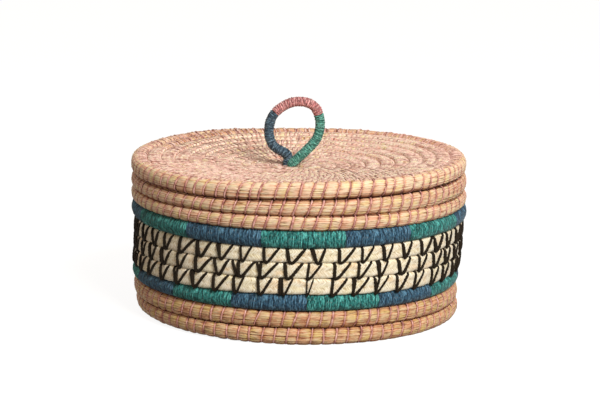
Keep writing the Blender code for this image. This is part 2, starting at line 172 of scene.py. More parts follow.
def lay_along(piece, places, twist="Z_UP"):
    """Bends a straight piece, which lies along +X, onto the line through the places."""
    path = bpy.data.curves.new("guide", "CURVE")
    path.dimensions = "3D"
    path.twist_mode = twist
    spline = path.splines.new("POLY")
    spline.points.add(len(places) - 1)
    for point, place in zip(spline.points, places):
        point.co = (*place, 1)
    guide = bpy.data.objects.new("guide", path)
    bpy.context.scene.collection.objects.link(guide)
    apply(piece, "CURVE", object=guide, deform_axis="POS_X")
    bpy.data.objects.remove(guide)


def points_of(piece):
    co = np.zeros(len(piece.data.vertices) * 3, np.float32)
    piece.data.vertices.foreach_get("co", co)
    return co.reshape(-1, 3)


def move_points(piece, co):
    piece.data.vertices.foreach_set("co", np.ascontiguousarray(co, np.float32).ravel())
    piece.data.update()


def rolled_up(name, x, y, z, around, painted_shade):
    """A strip of mesh rolled into a closed tube: its rings run along x, its sides around it."""
    rings, sides = x.shape
    bpy.ops.object.select_all(action="DESELECT")
    bpy.ops.mesh.primitive_grid_add(x_subdivisions=rings - 1, y_subdivisions=sides - 1, size=1)
    piece = bpy.context.object
    piece.name = name
    mesh = piece.data
    mesh.name = name
    move_points(piece, np.stack([x.T, y.T, z.T], 2).reshape(-1, 3))
    corners = np.zeros(len(mesh.loops), np.int32)
    mesh.loops.foreach_get("vertex_index", corners)
    along = x.T.reshape(-1)[corners]
    turned = np.broadcast_to(around, x.shape).T.reshape(-1)[corners]
    uv = np.stack([along, turned], 1).astype(np.float32)
    mesh.uv_layers.active.data.foreach_set("uv", uv.ravel())
    # Each point's share of painted shade, which the finishes darken its colour by
    shade = mesh.attributes.new("painted_shade", "FLOAT", "POINT")
    shade.data.foreach_set("value", painted_shade.T.reshape(-1).astype(np.float32))
    bpy.ops.object.mode_set(mode="EDIT")
    bpy.ops.mesh.select_all(action="SELECT")
    bpy.ops.mesh.remove_doubles(threshold=1e-6)
    bpy.ops.mesh.fill_holes(sides=0)
    bpy.ops.object.mode_set(mode="OBJECT")
    bpy.ops.object.shade_smooth()
    return piece


def squared(angle, squareness):
    """How much further out than an ellipse a coil's section reaches at an angle."""
    across = np.abs(np.cos(angle)) ** squareness + np.abs(np.sin(angle)) ** squareness
    return across ** (-1 / squareness)


def sides_of(face, shown, behind):
    """Angles round a section, closer together on the side that shows."""
    near = np.linspace(FACE_HALF, -FACE_HALF, shown + 1)
    far = np.linspace(-FACE_HALF, FACE_HALF - 2 * pi, behind + 1)[1:]
    return face + np.concatenate([near, far])


def near_middle(line, x, reach):
    """Nought at both ends of a line and one away from them."""
    return np.clip(x / reach, 0, 1) * np.clip((line.along[-1] - x) / reach, 0, 1)


def grass_coil(
    name, line, spot_at, face, sides, cell_rings, stitch, seed,
    squareness=GRASS_SQUARENESS, shades=GRASS_SHADES, wander=GRASS_WANDER,
):
    """A bundle of grass stalks, drawn in at each stitch. Returns it and where it is sewn."""
    rng = np.random.default_rng(seed)
    cells = round(line.along[-1] / stitch)
    sewn = np.linspace(0, line.along[-1], cells + 1)
    most = MOST_WANDER * stitch
    sewn[1:-1] += rng.normal(0, wander * stitch, cells - 1).clip(-most, most)

    share = np.array(cell_rings)
    x = (sewn[:-1, None] + share * np.diff(sewn)[:, None]).ravel()
    x = np.append(x, sewn[-1])
    cell = np.append(np.repeat(np.arange(cells), len(share)), cells)
    share = np.append(np.tile(share, cells), 0)

    angle = sides_of(face, *sides)
    stalks = rng.normal(0, 1, (cells + 2, len(angle)))
    for i in range(1, len(stalks)):
        stalks[i] = STALK_GOES_ON * stalks[i - 1] + STALK_CHANGES * stalks[i]
    stalks[:, 2::3] -= STALK_GAP
    stalks[:, -1] = stalks[:, 0]
    blend = share[:, None]
    stalk = stalks[cell] * (1 - blend) + stalks[cell + 1] * blend
    puff = rng.normal(1, PUFF_UNEVEN, cells + 1)[cell] * np.sin(pi * share)
    from_stitch = np.minimum(share, 1 - share)
    pinch = np.clip(1 - from_stitch / PINCH_REACH, 0, 1) ** PINCH_SHARP
    relief = STALK_RELIEF * stalk + (GRASS_PUFF * puff - GRASS_PINCH * pinch)[:, None]

    deep, high = sizes_on(line, spot_at, x)
    relief = relief * np.minimum(deep / WALL_DEEP, 1)
    out = squared(angle, squareness)
    y = (deep * out + relief) * np.cos(angle)
    z = (high * out + relief) * np.sin(angle)
    across = np.sin(angle - face)
    # Painted shade: in the pinch at each stitch, in the creases above and below, and on low
    # stalks
    in_stitch, above, below = shades
    crease = np.where(across > 0, above, below) * np.abs(across) ** CREASE_SHARP
    painted_shade = np.clip(in_stitch * pinch[:, None] - STALK_SHADE * stalk + crease, 0, 1)
    lean = THREAD_LEAN * across * near_middle(line, x, stitch)[:, None]
    piece = rolled_up(name, x[:, None] - lean, y, z, (face - angle) / (2 * pi), painted_shade)
    lay_along(piece, line.places)
    return piece, sewn


def thread_loops(
    name, line, spot_at, sewn, face, seed,
    squareness=GRASS_SQUARENESS, uneven=THREAD_UNEVEN, sunk=GRASS_PINCH, shown_at=None,
):
    """A loop of thread round the coil at each place where it is sewn.

    Loops that show at one angle only go through the grass elsewhere.
    """
    rng = np.random.default_rng(seed)
    bpy.ops.object.select_all(action="DESELECT")
    bpy.ops.mesh.primitive_torus_add(
        major_radius=1,
        minor_radius=LOOP_WIRE,
        major_segments=LOOP_SIDES,
        minor_segments=THREAD_SIDES,
        rotation=(0, pi / 2, 0),
    )
    loops = bpy.context.object
    loops.name = name
    loops.data.name = name
    bpy.ops.object.transform_apply(location=True, rotation=True, scale=True)
    copies(loops, len(sewn))
    co = points_of(loops).reshape(len(sewn), -1, 3)
    x = co[..., 0] - np.arange(len(sewn))[:, None]
    angle = np.arctan2(co[..., 2], co[..., 1])
    outward = (np.hypot(co[..., 1], co[..., 2]) - 1) / LOOP_WIRE
    deep, high = sizes_on(line, spot_at, sewn)
    each = (len(sewn), 1)
    thick = np.clip(rng.normal(1, uneven, each), THREAD_THINNEST, THREAD_THICKEST)
    lean = THREAD_LEAN * rng.normal(1, LEAN_UNEVEN, each)
    reach = THREAD_THICK * thick * (outward + THREAD_PROUD) - sunk
    if shown_at is not None:
        reach -= HIDDEN_UNDER * np.clip(SHOWN_TO - np.cos(angle - shown_at), 0, SHOWN_TO)
    out = squared(angle, squareness)
    along = x / LOOP_WIRE * THREAD_WIDE * thick
    co[..., 0] = sewn[:, None] + along - lean * np.sin(angle - face)
    co[..., 1] = (deep * out + reach) * np.cos(angle)
    co[..., 2] = (high * out + reach) * np.sin(angle)
    move_points(loops, co)
    bpy.ops.object.shade_smooth()
    lay_along(loops, line.places)
    return loops


def copies(piece, count):
    """A row of copies of a piece, one metre apart along +X."""
    apply(
        piece,
        "ARRAY",
        count=count,
        use_relative_offset=False,
        use_constant_offset=True,
        constant_offset_displace=(1, 0, 0),
    )


def row_between(face_radius, bottom, top):
    """A wall row from its outer face, its underside and its top."""
    high = (top - bottom) / 2 + ROWS_MEET
    deep = WALL_DEEP * high / WALL_HIGH
    return Spot(face_radius - deep, (top + bottom) / 2, deep, high)


def face_of(*nodes):
    return max(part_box(name)[1].x for name in nodes)


def top_of(*nodes):
    return max(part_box(name)[1].z for name in nodes) + HALF_GAP


def flat_rows(eye, turns, deep, high, outer, height_at):
    """Rows of a flat coil, from its eye to the row that curls round it."""
    last = outer.radius - outer.deep - deep
    radii = np.linspace(eye, last, turns + 1)
    return [*(Spot(r, height_at(r / last), deep, high) for r in radii), outer]


def flat_spot(rows, turn):
    """Turn k of a flat coil steps out from row k to row k + 1. It starts in a thin head."""
    if turn < 0:
        outside = flat_spot(rows, turn + 1)
        hole = rows[0].radius - rows[0].deep
        deep = max((outside.radius - outside.deep - hole) / 2, HEAD_THIN)
        high = rows[0].high * sqrt(min(deep / rows[0].deep, 1))
        return Spot(hole + deep, rows[0].height, deep, high)
    k = min(floor(turn), len(rows) - 2)
    span = min(STEP_TURN / STEP_SHRINK ** (len(rows) - 2 - k), 1)
    return part_way(rows[k], rows[k + 1], eased((turn - k) / span))


def grey(level):
    return (level, level, level)


WHITE = grey(1)


def node(tree, kind, links=None, **settings):
    """A new shader node with its settings, and links or values for its inputs."""
    made = tree.nodes.new(kind)
    for key, value in settings.items():
        setattr(made, key, value)
    for socket, source in (links or {}).items():
        if isinstance(source, bpy.types.NodeSocket):
            tree.links.new(source, made.inputs[socket])
        else:
            made.inputs[socket].default_value = source
    return made


def new_finish(name):
    """An empty material, its node tree and its shader."""
    finish = bpy.data.materials.new(name)
    finish.use_nodes = True
    return finish, finish.node_tree, finish.node_tree.nodes["Principled BSDF"]


def ramp(tree, source, *stops):
    """A colour ramp over (place, colour) stops."""
    made = node(tree, "ShaderNodeValToRGB", {"Fac": source})
    line = made.color_ramp
    while len(line.elements) < len(stops):
        line.elements.new(0.5)
    for element, (place, colour) in zip(line.elements, stops):
        element.position = place
        element.color = (*colour, 1)
    return made.outputs["Color"]


def mixed(tree, how, amount, below, above):
    """Two colours mixed. The mix takes them in its inputs 6 and 7, and gives its output 2."""
    links = {0: amount, 6: below, 7: above}
    return node(tree, "ShaderNodeMix", links, data_type="RGBA", blend_type=how).outputs[2]


def noise(tree, coordinates, scale, detail=3, roughness=0.6):
    """Noise over coordinates that are stretched first."""
    place = node(tree, "ShaderNodeMapping", {"Vector": coordinates, "Scale": scale})
    values = {"Vector": place.outputs[0], "Scale": 1, "Detail": detail, "Roughness": roughness}
    return node(tree, "ShaderNodeTexNoise", values).outputs["Fac"]


def bumped(tree, shader, height, strength, distance):
    values = {"Height": height, "Strength": strength, "Distance": distance}
    tree.links.new(node(tree, "ShaderNodeBump", values).outputs[0], shader.inputs["Normal"])


SPLIT_BROWN = (0.40, 0.28, 0.22)  # in the fine splits between stalks
# Painted shade, from light to dark, at a coil's stitches, on its low stalks and in its creases
PAINTED_CREASE_SHADES = (0.84, 0.60, 0.52), (0.40, 0.21, 0.15), (0.07, 0.028, 0.018)


def grass_finish(name, dark, middle, pale, gold, blush):
    """Dried stalks: fine streaks along the coil, with painted shade in its creases and at its
    stitches.
    """
    finish, tree, shader = new_finish(name)
    place = node(tree, "ShaderNodeTexCoord").outputs["UV"]
    streaks = noise(tree, place, (75, 30, 1), detail=5, roughness=0.72)
    splits = noise(tree, place, (90, 62, 1), detail=2, roughness=0.5)
    patches = noise(tree, place, (75, 8, 1), detail=2)
    colour = ramp(
        tree, streaks, (0.35, dark), (0.44, middle), (0.57, pale), (0.66, middle), (0.74, pale)
    )
    lines = ramp(tree, splits, (0.34, SPLIT_BROWN), (0.43, WHITE))
    colour = mixed(tree, "MULTIPLY", 0.9, colour, lines)
    tint = ramp(tree, patches, (0.38, blush), (0.50, WHITE), (0.62, gold))
    colour = mixed(tree, "MULTIPLY", 1, colour, tint)
    # Painted shade in the creases, at the stitches and on low stalks
    painted_shade = node(tree, "ShaderNodeAttribute", attribute_name="painted_shade").outputs["Fac"]
    shade = ramp(tree, painted_shade, (0.08, WHITE), *zip((0.42, 0.72, 1), PAINTED_CREASE_SHADES))
    colour = mixed(tree, "MULTIPLY", 1, colour, shade)
    tree.links.new(colour, shader.inputs["Base Color"])
    shader.inputs["Roughness"].default_value = 0.60
    shader.inputs["Specular IOR Level"].default_value = 0.35
    bumped(tree, shader, streaks, strength=0.65, distance=0.0006)
    return finish


def thread_finish(name, dark, middle, pale):
    """Twisted cotton thread."""
    finish, tree, shader = new_finish(name)
    place = node(tree, "ShaderNodeTexCoord").outputs["Object"]
    worn = noise(tree, place, (240, 240, 240), detail=4)
    colour = ramp(tree, worn, (0.34, dark), (0.5, middle), (0.66, pale))
    tree.links.new(colour, shader.inputs["Base Color"])
    shader.inputs["Roughness"].default_value = 0.75
    fibres = noise(tree, place, (1500, 1500, 900), detail=2)
    bumped(tree, shader, fibres, strength=0.5, distance=0.0003)
    return finish


def finished(piece, finish, body, slot, *nodes):
    """Gives a piece its material and its body, and hides the model's nodes it stands for. Its
    slot is not used.
    """
    piece.data.materials.clear()
    piece.data.materials.append(finish)
    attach(piece, body)
    if nodes:
        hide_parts(*nodes)


MM = 0.001
# How far rows sewn by hand stray from their true place, in mm, for boundaries at these heights
BOUNDARY_AT = (0, 0.0148, 0.0298, 0.0436, 0.0574, 0.0713, 0.0851, 0.1004, 0.1127, 0.1264)
ASIDE_LEFT = (-0.3, -3.8, -3.7, -2.6, -1.6, -1.4, -0.8, -0.9, -1.2, -0.9)
ASIDE_RIGHT = (-0.3, -0.7, -2.4, -2.9, -0.8, -0.3, 0.1, -0.4, -1.2, -1.0)
UP_LEFT = (1.7, 0.6, 1.2, 0.2, 0.3, 0.1, 0.5, 0.1, -0.9, 0)
UP_MIDDLE = (0, 0.5, 0, 1.3, 1.3, 0.9, -0.6, -0.2, 0, 0)
UP_RIGHT = (0, -1.0, -0.2, -1.5, 0, 0, 0.5, -0.4, -0.6, 0)
LEFT_TO_RIGHT = 0.120  # a row strays by the whole of these this far from the middle
MOUTH_SLOPE = 0.009  # the mouth and the lid rise to the right
MOUTH_TWIST = 0.0019  # their left side hangs this much in front, and rises so behind
TWIST_LEFT_AT = 0.080
TWIST_FRONT_AT = 0.120


def mouth_sway(co):
    """How far the mouth, and the lid that lies on it, are above their true level."""
    hang = MOUTH_TWIST * np.clip(-co[:, 0] / TWIST_LEFT_AT, 0, 1) * co[:, 1] / TWIST_FRONT_AT
    return MOUTH_SLOPE * co[:, 0] + hang


def set_by_hand(piece):
    """Moves a piece of the wall as its rows stray."""
    co = points_of(piece)
    height = co[:, 2].copy()
    up_left, up_middle, up_right, aside_left, aside_right = (
        MM * np.interp(height, BOUNDARY_AT, stray)
        for stray in (UP_LEFT, UP_MIDDLE, UP_RIGHT, ASIDE_LEFT, ASIDE_RIGHT)
    )
    share = np.clip(co[:, 0] / LEFT_TO_RIGHT, -1, 1)
    in_mouth = np.clip((height - BOUNDARY_AT[-2]) / (BOUNDARY_AT[-1] - BOUNDARY_AT[-2]), 0, 1)
    co[:, 2] += up_middle + np.maximum(share, 0) * (up_right - up_middle)
    co[:, 2] += np.maximum(-share, 0) * (up_left - up_middle) + in_mouth * mouth_sway(co)
    co[:, 0] += (aside_left * (1 - share) + aside_right * (1 + share)) / 2
    co[:, 2] = np.maximum(co[:, 2], 0)
    move_points(piece, co)


def basket_piece(piece, finish, slot, *nodes):
    set_by_hand(piece)
    finished(piece, finish, "basket", slot, *nodes)


# Darker than the mouth's wall_grass; it finishes the base, the foot, the lower wall and the
# bands' cores
foot_grass = grass_finish(
    "foot_grass",
    dark=(0.21, 0.090, 0.038),
    middle=(0.54, 0.345, 0.178),
    pale=(0.76, 0.575, 0.345),
    gold=(0.98, 0.97, 0.66),
    blush=(1, 0.79, 0.75),
)
pink_thread = thread_finish(
    "pink_thread", dark=(0.30, 0.10, 0.08), middle=(0.60, 0.28, 0.235), pale=(0.80, 0.48, 0.41)
)

foot = row_between(face_of("base_coil"), 0, top_of("base_coil"))
base_rows = flat_rows(
    BASE_EYE, BASE_TURNS, BASE_DEEP, BASE_HIGH, foot, lambda share: BASE_HIGH - BASE_PRESSED
)


def base_spot(turn):
    """The foot's start fills out early, so that no gap is left under the wall's first climb."""
    spot = flat_spot(base_rows, turn)
    if turn <= BASE_TURNS:
        return spot
    share = sqrt(climbed((turn - BASE_TURNS) / STEP_TURN))
    return part_way(base_rows[-2], foot, share)._replace(radius=spot.radius)


base_line = line_of(base_spot, -BASE_HEAD, BASE_TURNS)
base_coil, base_sewn = grass_coil(
    "base_grass", base_line, base_spot, UP, BASE_SIDES, PLAIN_CELL, BASE_STITCH, seed=11
)
base_thread = thread_loops("base_thread", base_line, base_spot, base_sewn, UP, seed=12)
basket_piece(base_coil, foot_grass, "grass", "base_coil")
basket_piece(base_thread, pink_thread, "pink_yarn")

foot_line = line_of(base_spot, BASE_TURNS, BASE_TURNS + 1 - LEAD)
foot_coil, foot_sewn = grass_coil(
    "foot_grass", foot_line, base_spot, OUT, ROW_SIDES, FINE_CELL, STITCH, seed=13
)
foot_thread = thread_loops("foot_thread", foot_line, base_spot, foot_sewn, OUT, seed=14)
basket_piece(foot_coil, foot_grass, "grass")
basket_piece(foot_thread, pink_thread, "pink_yarn")

# The lower wall.
# The same bundle climbs over the foot and goes round once more, sewn to it with pink thread.
# Its row, and all rows above it, are placed here.

NECK_SHARE = 0.473  # of the height of the two rows above the upper band
LOWER_YARNS = [f"lower_band_wrap_{i + 1:02d}" for i in range(14)]
UPPER_YARNS = [f"upper_band_wrap_{i + 1:02d}" for i in range(12)]
TAIL_THIN = 0.0001  # half the least thickness of a coil's tail

courses = (
    (1, face_of("lower_wall_coil"), top_of("lower_wall_coil")),
    (1, face_of(*LOWER_YARNS), top_of(*LOWER_YARNS)),
    (3, face_of("cream_coil"), top_of("cream_coil")),
    (1, face_of(*UPPER_YARNS), top_of(*UPPER_YARNS)),
)
wall = [foot]
level = top_of("base_coil")
for rows, face_radius, course_top in courses:
    bottom = level
    for i in range(rows):
        level = bottom + (course_top - bottom) * (i + 1) / rows
        wall.append(row_between(face_radius, level - (course_top - bottom) / rows, level))
mouth_top = top_of("upper_wall_coil")
neck_top = level + (mouth_top - level) * NECK_SHARE
wall.append(row_between(face_of("upper_wall_coil"), level, neck_top))
wall.append(row_between(face_of("upper_wall_coil"), neck_top, mouth_top))


def wall_spot(turn):
    """Turn k of the wall climbs from row k to row k + 1. The last turn ends in a thin tail."""
    if turn > len(wall) - 1:
        below = wall_spot(turn - 1)
        mouth = wall[-1]
        high = (mouth.height + mouth.high - below.height - below.high) / 2 + ROWS_MEET
        deep = mouth.deep * sqrt(max(high, TAIL_THIN) / mouth.high)
        return Spot(mouth.radius, mouth.height + mouth.high - high, deep, high)
    k = min(max(floor(turn), 0), len(wall) - 2)
    return part_way(wall[k], wall[k + 1], climbed((turn - k) / STEP_TURN))


lower_line = line_of(wall_spot, -LEAD, 1 - LEAD)
lower_wall, lower_sewn = grass_coil(
    "lower_wall_grass", lower_line, wall_spot, OUT, ROW_SIDES, FINE_CELL, STITCH, seed=21
)
lower_thread = thread_loops("lower_wall_thread", lower_line, wall_spot, lower_sewn, OUT, seed=22)
basket_piece(lower_wall, foot_grass, "grass", "lower_wall_coil")
basket_piece(lower_thread, pink_thread, "pink_yarn")

# The lower and upper bands.
# One turn of coil is wound round with dyed jute yarn, in lengths of navy and teal that change
# places. The yarn is hairy, and each winding lies beside the last.

YARN_PITCH = 0.00108
YARN_RELIEF = 0.00026
YARN_WALL = 0.0017
YARN_SIDES = 24
YARN_SQUARENESS = 2.15
# The rest of a winding, in shares of its relief or its pitch
RIDGE_UNEVEN = 0.3
RIDGE_INSIDE = 0.6  # lies under the coil's true size
ENDS_UNDER = 1.6
YARN_LUMPS = 0.25
WINDING_LEAN = 0.3

STRAY_KNOTS = 7  # places at which a length's windings stray along the coil
YARN_STRAY = 0.0006
STRAY_FROM = 0.006  # the end of each length
# The painted shade between two windings
VALLEY_SHADE = 0.75
BAND_VALLEY = 0.30, 0.29, 0.32  # what is left of the colour in the painted shade between two windings

CORE_SIDES = 10, 6
# The changes of colour that are seen in front, in degrees, and the number of the first
LOWER_CHANGES = 8, (-35.8, -60.4, -86.0, -111.8, -136.3)
UPPER_CHANGES = 6, (-22.7, -50.1, -74.4, -102.3, -130.0, -158.0)


def wound_coil(name, line, spot_at, pitch, relief, sides, squareness, seed, twist="Z_UP"):
    """Yarn wound side by side round a core, with each winding a ridge."""
    rng = np.random.default_rng(seed)
    count = round(line.along[-1] / pitch)
    x = np.linspace(0, line.along[-1], 2 * count + 1)
    crest = np.arange(len(x)) % 2
    thick = np.repeat(rng.normal(1, RIDGE_UNEVEN, count + 1), 2)[: len(x)]
    rise = relief * (crest * thick - RIDGE_INSIDE)
    rise[0] = rise[-1] = -ENDS_UNDER * relief
    angle = np.linspace(pi, -pi, sides + 1)
    deep, high = sizes_on(line, spot_at, x)
    out = squared(angle, squareness)
    lumps = rng.normal(0, YARN_LUMPS * relief, (len(x), sides + 1))
    lumps[:, -1] = lumps[:, 0]
    rise = rise[:, None] + lumps
    y = (deep * out + rise) * np.cos(angle)
    z = (high * out + rise) * np.sin(angle)
    knots = np.linspace(0, line.along[-1], STRAY_KNOTS)
    stray = np.interp(x, knots, rng.normal(0, YARN_STRAY, STRAY_KNOTS))
    stray = stray * near_middle(line, x, STRAY_FROM)
    lean = stray[:, None] * np.sin(angle) + WINDING_LEAN * pitch * np.sin(angle / 2) ** 2
    # Painted shade in the valleys between windings
    painted_shade = np.broadcast_to(VALLEY_SHADE * (1 - crest[:, None]), x.shape + angle.shape)
    piece = rolled_up(name, x[:, None] + lean, y, z, -angle / (2 * pi), painted_shade)
    lay_along(piece, line.places, twist)
    return piece


def yarn_changes(start, count, first, seen):
    """Turns at which a band's yarn changes colour. Those that aren't seen are spread evenly."""
    turns = [start + ((STEP_AT - radians(angle)) / (2 * pi) - start) % 1 for angle in seen]
    numbers = [0, *range(first, first + len(seen)), count]
    return np.interp(range(count + 1), numbers, [start, *turns, start + 1])


def yarn_finish(name, dark, middle, pale, hair, across=1, valley=BAND_VALLEY):
    """Dyed jute: each winding takes the dye a little differently, and pale hairs cross it."""
    finish, tree, shader = new_finish(name)
    place = node(tree, "ShaderNodeTexCoord").outputs["UV"]
    windings = noise(tree, place, (620, 4 * across, 1), detail=3, roughness=0.6)
    fibres = noise(tree, place, (1100, 14 * across, 1), detail=3, roughness=0.65)
    stray = noise(tree, place, (480, 20 * across, 1), detail=3, roughness=0.75)
    colour = ramp(tree, windings, (0.42, dark), (0.5, middle), (0.58, pale))
    streaks = ramp(tree, fibres, (0.38, grey(0.3)), (0.5, WHITE), (0.62, grey(1.9)))
    colour = mixed(tree, "MULTIPLY", 1, colour, streaks)
    hairs = ramp(tree, stray, (0.56, grey(0)), (0.68, grey(0.7)))
    colour = mixed(tree, "MIX", hairs, colour, (*hair, 1))
    # A painted highlight on each winding's crest and painted shade in the valleys between them
    painted_shade = node(tree, "ShaderNodeAttribute", attribute_name="painted_shade").outputs["Fac"]
    shade = ramp(tree, painted_shade, (0, grey(1.12)), (VALLEY_SHADE, valley))
    colour = mixed(tree, "MULTIPLY", 1, colour, shade)
    tree.links.new(colour, shader.inputs["Base Color"])
    shader.inputs["Roughness"].default_value = 0.85
    shader.inputs["Specular IOR Level"].default_value = 0.2
    shader.inputs["Sheen Weight"].default_value = 0.12
    shader.inputs["Sheen Roughness"].default_value = 0.5
    bumped(tree, shader, fibres, strength=0.7, distance=0.0004)
    return finish


def core_spot(turn):
    """The grass inside a band's yarn."""
    spot = wall_spot(turn)
    return spot._replace(deep=spot.deep - YARN_WALL, high=spot.high - YARN_WALL)


HAIR_COUNT = 240
HAIR_LENGTH = 0.006
HAIR_SHORTEST = 0.25  # of the longest
HAIR_RADIUS = 0.00009
HAIR_TAPER = 0.7
HAIR_RINGS = 5
HAIR_SIDES = 3
HAIR_SPAN = 0.5  # its length in the row of copies, which are 1 apart
HAIR_BEND = 1.6
HAIR_LIFT = 0.1, 0.55  # of its length, off the yarn
HAIR_HEADING = 0.9
HAIR_AROUND = -0.40, 0.45  # of a half turn round the coil
HAIR_ROOT = 0.0002  # under the yarn


def stray_hairs(name, line, spot_at, seed):
    """Loose ends of fibre that stand off the yarn."""
    rng = np.random.default_rng(seed)
    rings = np.linspace(0, 1, HAIR_RINGS)[:, None]
    along = np.broadcast_to(rings, (HAIR_RINGS, HAIR_SIDES + 1))
    angle = np.linspace(pi, -pi, HAIR_SIDES + 1)
    taper = 1 - HAIR_TAPER * along
    hairs = rolled_up(
        name, along * HAIR_SPAN, taper * np.cos(angle), taper * np.sin(angle), angle, along
    )
    copies(hairs, HAIR_COUNT)
    co = points_of(hairs).reshape(HAIR_COUNT, -1, 3)
    share = (co[..., 0] - np.arange(HAIR_COUNT)[:, None]) / HAIR_SPAN
    side, top = co[..., 1] * HAIR_RADIUS, co[..., 2] * HAIR_RADIUS
    each = (HAIR_COUNT, 1)
    start = rng.uniform(0, line.along[-1], each)
    around = rng.uniform(*HAIR_AROUND, each) * pi
    length = HAIR_LENGTH * rng.uniform(HAIR_SHORTEST, 1, each) ** 2
    heading = rng.uniform(-HAIR_HEADING, HAIR_HEADING, each)
    lift = rng.uniform(*HAIR_LIFT, each) * length
    deep, high = sizes_on(line, spot_at, start.ravel())
    turn = around + np.cos(heading) * length * share / WALL_HIGH
    off = lift * share ** HAIR_BEND - HAIR_ROOT + top
    out = squared(turn, YARN_SQUARENESS)
    co[..., 0] = start + length * share * np.sin(heading) + side
    co[..., 1] = (deep * out + off) * np.cos(turn)
    co[..., 2] = (high * out + off) * np.sin(turn)
    move_points(hairs, co)
    lay_along(hairs, line.places)
    return hairs


navy_yarn = yarn_finish(
    "band_navy_yarn",
    dark=(0.012, 0.039, 0.067),
    middle=(0.038, 0.110, 0.178),
    pale=(0.092, 0.218, 0.312),
    hair=(0.22, 0.29, 0.34),
)
teal_yarn = yarn_finish(
    "band_teal_yarn",
    dark=(0.010, 0.084, 0.077),
    middle=(0.027, 0.228, 0.203),
    pale=(0.093, 0.415, 0.365),
    hair=(0.26, 0.50, 0.44),
)
teal_hair = thread_finish(
    "teal_hair", dark=(0.05, 0.25, 0.2), middle=(0.12, 0.38, 0.32), pale=(0.5, 0.6, 0.5)
)

NAVY = navy_yarn, "navy_yarn"
TEAL = teal_yarn, "teal_yarn"
LOWER_BAND_ROW = 1
UPPER_BAND_ROW = 5
bands = (
    ("lower", LOWER_YARNS, LOWER_BAND_ROW, LOWER_CHANGES, (NAVY, TEAL), 31),
    ("upper", UPPER_YARNS, UPPER_BAND_ROW, UPPER_CHANGES, (TEAL, NAVY), 51),
)
for band, nodes, row, seen, dyes, seed in bands:
    changes = yarn_changes(row - LEAD, len(nodes), *seen)
    for i, replaced in enumerate(nodes):
        line = line_of(wall_spot, changes[i], changes[i + 1])
        yarn = wound_coil(
            f"{band}_band_yarn_{i + 1:02d}", line, wall_spot, YARN_PITCH, YARN_RELIEF,
            YARN_SIDES, YARN_SQUARENESS, seed + i,
        )
        basket_piece(yarn, *dyes[i % 2], replaced)
    line = line_of(core_spot, row - LEAD, row + 1 - LEAD)
    core, _ = grass_coil(
        f"{band}_band_core_grass", line, core_spot, OUT, CORE_SIDES, PLAIN_CELL, STITCH, seed + 15
    )
    basket_piece(core, foot_grass, "grass", f"{band}_band_core")
    line = line_of(wall_spot, row - LEAD, row + 1 - LEAD)
    hairs = stray_hairs(f"{band}_band_hairs", line, wall_spot, seed + 16)
    basket_piece(hairs, teal_hair, "teal_yarn")

# The cream rows.
# Three turns of a softer straw that is plaited flat and wrapped on in small chevrons. They lie
# on the lower band, and the black lacing ties each of them to the row below.

CREAM_SIDES = 20, 8
CREAM_ROW = 2  # the first of the three
PLAIT_STEP = 0.00105  # half a strand
PLAIT_RELIEF = 0.00024
PLAIT_UNEVEN = 0.45
PLAIT_INSIDE = 0.6  # of the relief, under the coil's true size
PLAIT_FOLD = 0.0040  # the plait slants one way and the other in bands of this height
PLAIT_SLANT = 0.9
SLANT_FROM_END = 0.008
PLAIT_SQUARENESS = 6.0
MIDDLE_GROOVE = 0.00012
MIDDLE_AT = 0.03  # half the angle by which the middle groove lies under the face's middle
MIDDLE_WIDE = 0.075
# Painted shade in the plait's hollows, in its middle groove and where two rows meet; the crests
# are spared it
PLAIT_SHADE = 0.52
CREST_LIGHT = 0.60
GROOVE_SHADE = 0.12
ROWS_MEET_SHARP = 9
LACING_COUNT = 44
LACING_AT = (radians(-94.2), radians(-93.7), radians(-92.6))
LACING_PINCH = 0.0008
PINCH_WIDE = 0.17  # of the way from one V to the next

cream_line = line_of(wall_spot, CREAM_ROW - LEAD, CREAM_ROW + 3 - LEAD)
rng = np.random.default_rng(41)
strands = round(cream_line.along[-1] / PLAIT_STEP / 2)
x = np.linspace(0, cream_line.along[-1], 2 * strands + 1)
crest = (np.arange(len(x)) % 2)[:, None]
angle = sides_of(OUT, *CREAM_SIDES)
deep, high = sizes_on(cream_line, wall_spot, x)
groove = np.exp(-((np.sin(angle / 2 + MIDDLE_AT) / MIDDLE_WIDE) ** 2))
each = np.repeat(rng.normal(1, PLAIT_UNEVEN, (strands + 1, len(angle))), 2, axis=0)[: len(x)]
each[:, -1] = each[:, 0]
rise = PLAIT_RELIEF * (crest * each - PLAIT_INSIDE) - MIDDLE_GROOVE * groove

# The straw is drawn in where the lacing crosses it
turns = np.interp(x, cream_line.along, cream_line.turns)
rows_up = np.clip(np.floor(turns + LEAD).astype(int) - CREAM_ROW, 0, 2)
from_first = STEP_AT - 2 * pi * turns - np.array(LACING_AT)[rows_up]
cells = from_first * LACING_COUNT / (2 * pi)
from_lacing = np.abs(cells - np.round(cells))
rise = rise - LACING_PINCH * np.exp(-((from_lacing / PINCH_WIDE) ** 2))[:, None]

out = squared(angle, PLAIT_SQUARENESS)
# Painted shade of the plait: its hollows, its middle groove and the creases where rows meet
painted_shade = np.clip(PLAIT_SHADE - CREST_LIGHT * crest * each + GROOVE_SHADE * groove, 0, 1)
painted_shade = np.maximum(painted_shade, np.abs(np.sin(angle)) ** ROWS_MEET_SHARP)
cream_coil = rolled_up(
    "cream_straw_coil", x[:, None] + 0 * angle, (deep * out + rise) * np.cos(angle),
    (high * out + rise) * np.sin(angle), -angle / (2 * pi), painted_shade,
)
co = points_of(cream_coil)
slanted = PLAIT_SLANT * PLAIT_FOLD * np.abs((co[:, 2] / PLAIT_FOLD) % 2 - 1)
co[:, 0] += slanted * near_middle(cream_line, co[:, 0], SLANT_FROM_END)
move_points(cream_coil, co)
lay_along(cream_coil, cream_line.places)

